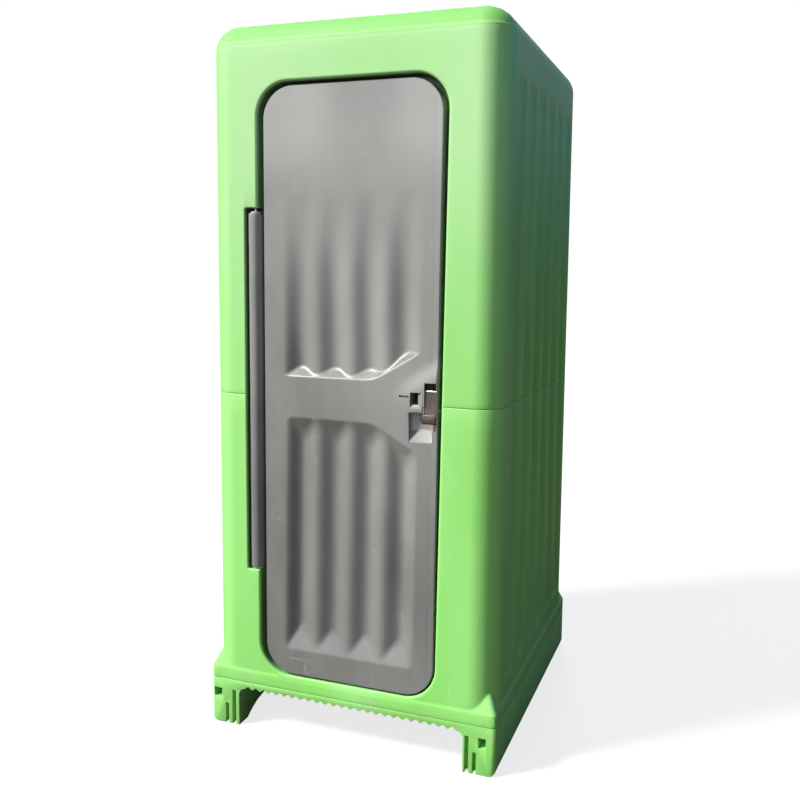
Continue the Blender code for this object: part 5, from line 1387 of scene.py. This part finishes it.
tank_plastic = moulded_grey("tank_moulding", TANK, TANK_MIDDLE, TANK_PALE, 0.4)
seat_plastic = plain_plastic("seat_moulding", SEAT_BLACK, SEAT_DUST, 0.26, 300.0, 0.0003)
seat_softened("waste_tank", "moulded", 0.0030, tank_plastic, "cabin", "tank_polyethylene", 3, 35, 30)
seat_profile = (
    (-1.00, 0.30), (-0.985, 0.50), (-0.93, 0.74), (-0.80, 0.92), (-0.60, 1.00), (-0.2, 1.0), (0.2, 1.0),
    (0.55, 0.99), (0.78, 0.90), (0.92, 0.70), (0.985, 0.46), (1.00, 0.25), (0.985, 0.08), (0.94, 0.0),
    (-0.94, 0.0), (-0.985, 0.10))
seat_points = []
for step in range(SEAT_STEPS):
    angle = 2 * math.pi * step / SEAT_STEPS
    for across, up in seat_profile:
        half_x, half_y = [middle + half * across for middle, half in zip(SEAT_OVAL, SEAT_HALF_WIDTHS)]
        seat_points.append((
            half_x * math.cos(angle), SEAT_Y + half_y * math.sin(angle), SEAT_BOTTOM + SEAT_HEIGHT * up))
seat_faces = []
sides = len(seat_profile)
for step in range(SEAT_STEPS):
    following = (step + 1) % SEAT_STEPS
    for side in range(sides):
        after = (side + 1) % sides
        seat_faces.append((
            step * sides + side, following * sides + side, following * sides + after, step * sides + after))
seat_ring = closed_piece("seat_ring_moulded", seat_points, seat_faces, seat_plastic)
smooth(seat_ring, 50)
seat(seat_ring, "cabin", "seat_plastic", "seat_ring")
lid_levels = (
    (0.0, 0.1760, 0.1910), (0.0008, 0.1815, 0.1965), (0.0030, 0.1840, 0.1990), (0.0085, 0.1840, 0.1990),
    (0.0115, 0.1815, 0.1965), (0.0135, 0.1760, 0.1910), (0.0150, 0.1600, 0.1750), (0.0172, 0.1260, 0.1390),
    (0.0186, 0.0850, 0.0960), (0.0194, 0.0350, 0.0400))
seat_lid = lofted_solid("seat_lid_moulded", [
    oval(half_x, half_y, LID_BOTTOM + rise, LID_STEPS) for rise, half_x, half_y in lid_levels], seat_plastic)
lid_y, lid_z = LID_AXIS
knuckle_outline = [(lid_y - 0.052, LID_BOTTOM + 0.0005), (lid_y - 0.010, LID_BOTTOM + 0.0005)]
for step in range(19):
    angle = math.radians(-90 + 10 * step)
    knuckle_outline.append((
        lid_y + KNUCKLE_RADIUS * math.cos(angle), lid_z + KNUCKLE_RADIUS * math.sin(angle)))
knuckle_outline.append((lid_y - 0.052, lid_z + 0.0040))
carve(seat_lid, [
    [(x, y, z) for y, z in knuckle_outline] for x in (-KNUCKLE_HALF_LENGTH, KNUCKLE_HALF_LENGTH)], "UNION")
smooth(seat_lid, 32)
seat(seat_lid, "lid", "seat_plastic", "seat_lid")
lid_rod = stamped(
    "lid_rod_turned", turned_mesh("lid_rod", pin_profile(*LID_ROD, 0.0004, 0.0005), 20),
    [((0.0, lid_y, lid_z), (1, 0, 0))], stainless)
seat(lid_rod, "cabin", "stainless_steel", "lid_hinge_rod")
seat_screw_places = []
for angle in map(math.radians, SEAT_SCREW_DEGREES):
    seat_screw_places.append((
        SEAT_OVAL[0] * math.cos(angle), SEAT_Y + SEAT_OVAL[1] * math.sin(angle),
        SEAT_BOTTOM + SEAT_HEIGHT - 0.0004))
screw_group(
    "seat_screws", 0.0036, 0.0014, 16, seat_screw_places, (0, 0, 1), "cabin", stainless, "stainless_steel")


# Vent stack.
# A pale plastic pipe from the tank through the roof, with two clips on the rear wall, a rubber
# collar where it leaves the roof, and a rain cap plugged into its top.
PIPE_WHITE = (0.560, 0.555, 0.520)
PIPE_DUST = (0.330, 0.310, 0.270)
PIPE_BOTTOM = 0.605
PIPE_TOP = 2.335
PIPE_EDGE = 0.0006
PIPE_BORE = PIPE_RADIUS - 0.0035
SEAL_BORE = PIPE_RADIUS + 0.0003
SEAL_LOW = ROOF_BOSS_TOP + 0.0003
SEAL_TOP = SEAL_LOW + 0.0160
SPIGOT_RADIUS = PIPE_BORE - 0.0003
SPIGOT_BORE = SPIGOT_RADIUS - 0.0030
CAP_RIBS = 3
RIB_OUTLINE = (SPIGOT_RADIUS - 0.0027, SPIGOT_RADIUS - 0.0003, -0.002, 0.002)
RIB_HEIGHTS = (2.330, 2.361)
CLIP_HEIGHTS = (0.950, 1.850)
CLIP_SCREW_OFFSET = 0.018

pipe_plastic = plain_plastic("pipe_plastic", PIPE_WHITE, PIPE_DUST, 0.38, 240.0, 0.0003)
pipe_shape = [(PIPE_BORE, PIPE_BOTTOM), (PIPE_RADIUS, PIPE_BOTTOM)]
pipe_shape += [(PIPE_RADIUS, float(height)) for height in np.linspace(0.70, 2.25, 14)]
pipe_shape += [
    (PIPE_RADIUS, PIPE_TOP - PIPE_EDGE), (PIPE_RADIUS - PIPE_EDGE, PIPE_TOP), (PIPE_BORE, PIPE_TOP),
    (PIPE_BORE, PIPE_BOTTOM)]
vent_pipe = turned_piece("vent_pipe_drawn", pipe_shape, 64, PIPE_PLACE, pipe_plastic)
seat(vent_pipe, "cabin", "pipe_pvc", "vent_pipe")
seal_flank = (
    (0.0648, 0.0), (0.0660, 0.0010), (0.0660, 0.0024), (0.0640, 0.0034), (0.0560, 0.0046),
    (0.0520, 0.0066), (0.0500, 0.0105), (0.0490, 0.0150), (0.0480, 0.0160))
seal_shape = [(SEAL_BORE, SEAL_LOW)] + [(radius, SEAL_LOW + rise) for radius, rise in seal_flank]
seal_shape += [(SEAL_BORE, SEAL_TOP), (SEAL_BORE, SEAL_LOW)]
roof_seal = turned_piece("roof_seal_moulded", seal_shape, 64, PIPE_PLACE, rubber)
seat(roof_seal, "cabin", "rubber", "roof_seal")
cap_shape = [
    (0.0, 2.3720), (0.0180, 2.3709), (0.0340, 2.3670), (0.0480, 2.3600), (0.0590, 2.3520),
    (0.0630, 2.3470), (0.0645, 2.3425), (0.0640, 2.3415), (0.0618, 2.3415), (0.0600, 2.3450),
    (0.0550, 2.3500), (0.0460, 2.3560), (0.0330, 2.3615), (0.0, 2.3662)]
vent_cap = turned_piece("vent_cap_moulded", cap_shape, 64, PIPE_PLACE, black_plastic)
spigot_shape = [
    (SPIGOT_BORE, 2.3100), (SPIGOT_RADIUS - 0.0005, 2.3100), (SPIGOT_RADIUS, 2.3106),
    (SPIGOT_RADIUS, 2.3420), (SPIGOT_BORE, 2.3420), (SPIGOT_BORE, 2.3100)]
cap_spigot = turned_piece("cap_spigot", spigot_shape, 64, PIPE_PLACE, black_plastic)
rib_outline = rounded_rectangle(RIB_OUTLINE, 0.0006, 3)
for index in range(CAP_RIBS):
    turn = Matrix.Rotation(2 * math.pi * index / CAP_RIBS, 3, "Z")
    rib_rings = [
        [tuple(turn @ Vector((x, y, z)) + Vector((*PIPE_PLACE, 0.0))) for x, y in rib_outline]
        for z in RIB_HEIGHTS]
    seat(lofted_solid("cap_rib_%d" % index, rib_rings, black_plastic), "cabin", "black_plastic")
seat(vent_cap, "cabin", "black_plastic", "vent_cap")
seat(cap_spigot, "cabin", "black_plastic")
for clip_name in ("pipe_clip_lower", "pipe_clip_upper"):
    seat_softened(clip_name, "moulded", 0.0010, black_plastic, "cabin", "black_plastic", 2, 35, 50)
screw_group(
    "clip_screws", 0.0030, 0.0016, 16,
    [(PIPE_PLACE[0] + side * CLIP_SCREW_OFFSET, ROOM_BACK - 0.0060, height)
     for side in (-1, 1) for height in CLIP_HEIGHTS], (0, -1, 0), "cabin", zinc, "zinc_steel")


# Urinal and drain.
# A white bowl with a tall splash back hung on the left wall; its waste pipe bends down into the
# tank. Both are glossy plastic, the bowl with a rounded rim and four screws in its back.
URINAL_Y = -0.130
URINAL_WALL = -ROOM_HALF_WIDTH + 0.0003
OUTLET_X = URINAL_WALL + 0.036
WHITE = (0.720, 0.725, 0.715)
WHITE_STAIN = (0.520, 0.480, 0.380)
SPLASH_MIDDLE = 0.980
DRAIN_PORT = (-0.405, 0.130)
white_plastic = plain_plastic("white_moulding", WHITE, WHITE_STAIN, 0.20, 120.0, 0.0003)


def bowl_ring(height, reach, half_width, wall_x, steps=40):
    points = []
    for step in range(steps + 1):
        angle = math.radians(-90 + 180 * step / steps)
        points.append((wall_x + reach * math.cos(angle), URINAL_Y + half_width * math.sin(angle), height))
    return points


def bowl_rings(levels, wall_x, steps=37):
    """Half ovals whose reach and width follow smooth curves through a few levels."""
    heights, reaches, widths = np.array(levels).T
    fine = np.linspace(heights[0], heights[-1], steps)
    reach = np.interp(fine, heights, reaches)
    width = np.interp(fine, heights, widths)
    kernel = np.array([0.25, 0.5, 0.25])
    for _ in range(3):
        reach[1:-1] = np.convolve(reach, kernel, "valid")
        width[1:-1] = np.convolve(width, kernel, "valid")
    return [bowl_ring(float(z), float(r), float(w), wall_x) for z, r, w in zip(fine, reach, width)]


urinal = lofted_solid("urinal_bowl", bowl_rings((
    (0.700, 0.074, 0.036), (0.730, 0.105, 0.062), (0.790, 0.150, 0.105), (0.850, 0.172, 0.128),
    (0.872, 0.182, 0.138), (0.880, 0.180, 0.136)), URINAL_WALL), white_plastic)
splash_outline = [(-0.136, 0.860), (0.136, 0.860), (0.132, 1.020)]
for step in range(25):
    angle = math.radians(180 * step / 24)
    splash_outline.append((0.118 * math.cos(angle), 1.060 + 0.060 * math.sin(angle)))
splash_outline.append((-0.132, 1.020))
splash_rings = []
for depth, shrink in ((0.0, 1.0), (0.0105, 1.0), (0.0130, 0.990), (0.0140, 0.972)):
    splash_rings.append([
        (URINAL_WALL + depth, URINAL_Y + y * shrink, SPLASH_MIDDLE + (z - SPLASH_MIDDLE) * shrink)
        for y, z in splash_outline])
carve(urinal, splash_rings, "UNION")
carve(urinal, bowl_rings((
    (0.716, 0.056, 0.024), (0.740, 0.086, 0.050), (0.795, 0.132, 0.095), (0.850, 0.154, 0.118),
    (0.900, 0.160, 0.124)), URINAL_WALL + 0.008))
outlet_shape = [(0.0, 0.690), (0.010, 0.690), (0.010, 0.725), (0.0, 0.725)]
combine(urinal, turned_piece("outlet", outlet_shape, 32, (OUTLET_X, URINAL_Y), white_plastic))
smooth(urinal, 40)
seat(urinal, "cabin", "white_plastic", "urinal")
screw_group(
    "splash_screws", 0.0040, 0.0020, 18,
    [(URINAL_WALL + 0.0139, URINAL_Y + y, z) for y in (-0.095, 0.095) for z in (0.930, 1.045)],
    (1, 0, 0), "cabin", stainless, "stainless_steel")
drain_corners = (
    (OUTLET_X, URINAL_Y, 0.6997), (OUTLET_X, URINAL_Y, 0.660), (*DRAIN_PORT, 0.648), (*DRAIN_PORT, 0.596))
urinal_drain = swept_tube("urinal_drain_pipe", drain_corners, 0.016, 0.028, pipe_plastic)
seat(urinal_drain, "cabin", "pipe_pvc", "urinal_drain")


# Paper holder.
# A black two-armed plastic bracket, moulded in one and screwed to the right wall, with a turned
# steel bar for the roll between its arms.
HOLDER_Y = -0.020
HOLDER_Z = 0.860
PAPER_BAR_X = ROOM_HALF_WIDTH - 0.0003 - 0.066
PAPER_BAR = (0.0060, 0.076)

seat_softened("paper_holder", "moulded", 0.0010, black_plastic, "cabin", "black_plastic", 2, 35, 50)
paper_bar = stamped(
    "paper_bar_turned", turned_mesh("paper_bar", pin_profile(*PAPER_BAR, 0.0006, 0.0006), 28),
    [((PAPER_BAR_X, HOLDER_Y, HOLDER_Z), (0, 1, 0))], stainless)
seat(paper_bar, "cabin", "stainless_steel", "paper_bar")
screw_group(
    "holder_screws", 0.0034, 0.0017, 16,
    [(ROOM_HALF_WIDTH - 0.0043, HOLDER_Y + y, HOLDER_Z + z)
     for y in (-0.040, 0.040) for z in (-0.022, 0.022)], (-1, 0, 0), "cabin", zinc, "zinc_steel")


# Vent grille.
# A black louvre frame that snaps into the opening high in the rear wall; its blades slope down
# towards the outside so that rain runs off.
seat_softened("vent_grille", "moulded", 0.0007, black_plastic, "cabin", "black_plastic", 2, 35, 50)


# Floor, light and backdrop.
# A plain pale floor that only keeps the cabin's shadow, a key lamp high on the left as the sun
# stood, two weak fills, and a sky bluer overhead; behind the cabin everything is white.
WHITE_LIGHT = (1.0, 1.0, 1.0)
GROUND_BOUNCE = (0.080, 0.072, 0.055)
GROUND_SHADED = (0.18, 0.18, 0.18)
GROUND_GLOW = 0.78
FLOOR_REACH = 40
KEY_COLOUR = (1.0, 0.985, 0.955)
LAMPS = (
    ("key", 6.5, 10.0, -53, 42, KEY_COLOUR), ("front_fill", 0.60, 35.0, -8, 18, WHITE_LIGHT),
    ("rear_fill", 1.6, 20.0, -165, 30, WHITE_LIGHT))
SKY_LOW = (0.045, 0.047, 0.048)
SKY_HIGH = (0.24, 0.30, 0.38)
SKY_RIGHT = (0.020, 0.024, 0.030)
MIRRORED_LOW = (0.030, 0.034, 0.030)
MIRRORED_LEFT = (0.30, 0.41, 0.50)
MIRRORED_RIGHT = (0.14, 0.72, 2.20)


def shown_apart(tree, glossy_share, lighting, shown):
    """One shader that lights the object, and another for what camera and transmission rays see.

    Glossy rays see a share of the second.
    """
    path = tree.nodes.new("ShaderNodeLightPath").outputs
    glossy = product(tree, path["Is Glossy Ray"], glossy_share)
    seen = arithmetic(tree, "MAXIMUM", path["Is Camera Ray"], path["Is Transmission Ray"], glossy)
    choice = tree.nodes.new("ShaderNodeMixShader")
    for socket, value in zip(choice.inputs, (seen, lighting, shown)):
        tree.links.new(value, socket)
    return choice.outputs[0]


def hang_lamp(name, strength, spread_degrees, azimuth, elevation, colour):
    """Point a far lamp at the cabin; its azimuth in degrees counts from the door's side."""
    data = bpy.data.lights.new(name, "SUN")
    data.energy = strength
    data.angle = math.radians(spread_degrees)
    data.color = colour
    azimuth, elevation = math.radians(azimuth), math.radians(elevation)
    towards = Vector((
        math.sin(azimuth) * math.cos(elevation), -math.cos(azimuth) * math.cos(elevation),
        math.sin(elevation)))
    lamp = bpy.data.objects.new(name, data)
    lamp.rotation_mode = "QUATERNION"
    lamp.rotation_quaternion = towards.to_track_quat("Z", "Y")
    scene.collection.objects.link(lamp)


floor_mesh = bpy.data.meshes.new("floor")
floor_corners = [(FLOOR_REACH * x, FLOOR_REACH * y, 0) for x, y in ((-1, -1), (1, -1), (1, 1), (-1, 1))]
floor_mesh.from_pydata(floor_corners, [], [(0, 1, 2, 3)])
floor_material = bpy.data.materials.new("pale_floor")
floor_material.use_nodes = True
floor_tree = floor_material.node_tree
floor_tree.nodes.clear()
ground_bounce = add_node(floor_tree, "ShaderNodeBsdfDiffuse", Color=GROUND_BOUNCE)
pale_glow = add_node(floor_tree, "ShaderNodeEmission", Color=WHITE_LIGHT, Strength=GROUND_GLOW)
pale_ground = add_node(floor_tree, "ShaderNodeBsdfDiffuse", Color=GROUND_SHADED)
pale_sum = floor_tree.nodes.new("ShaderNodeAddShader")
floor_tree.links.new(pale_glow.outputs[0], pale_sum.inputs[0])
floor_tree.links.new(pale_ground.outputs[0], pale_sum.inputs[1])
add_node(floor_tree, "ShaderNodeOutputMaterial", Surface=shown_apart(
    floor_tree, 0.06, ground_bounce.outputs[0], pale_sum.outputs[0]))
floor_piece = link_mesh("floor", floor_mesh, floor_material)
for lamp_values in LAMPS:
    hang_lamp(*lamp_values)

world = bpy.data.worlds.new("sky")
world.use_nodes = True
sky_tree = world.node_tree
sky_tree.nodes.clear()
sky_direction = sky_tree.nodes.new("ShaderNodeTexCoord").outputs["Generated"]
sky_axes = add_node(sky_tree, "ShaderNodeSeparateXYZ", Vector=sky_direction).outputs
overhead = spread(sky_tree, sky_axes["Z"], 0.02, 0.75)
to_right = spread(sky_tree, sky_axes["X"], 0.0, 0.9, 0.0, 0.45)
clear_sky = coated(sky_tree, MIRRORED_LEFT, (spread(sky_tree, sky_axes["X"], 0.35, 0.85), MIRRORED_RIGHT))
mirrored_sky = coated(sky_tree, MIRRORED_LOW, (spread(sky_tree, sky_axes["Z"], 0.0, 0.22), clear_sky))
is_glossy = sky_tree.nodes.new("ShaderNodeLightPath").outputs["Is Glossy Ray"]
sky_colour = coated(sky_tree, SKY_LOW, (overhead, SKY_HIGH), (to_right, SKY_RIGHT), (is_glossy, mirrored_sky))
sky_glow = add_node(sky_tree, "ShaderNodeBackground", Color=sky_colour)
white_glow = add_node(sky_tree, "ShaderNodeBackground", Color=WHITE_LIGHT, Strength=1.0)
add_node(sky_tree, "ShaderNodeOutputWorld", Surface=shown_apart(
    sky_tree, 0.0, sky_glow.outputs[0], white_glow.outputs[0]))
scene.world = world
scene.view_settings.view_transform = "Standard"
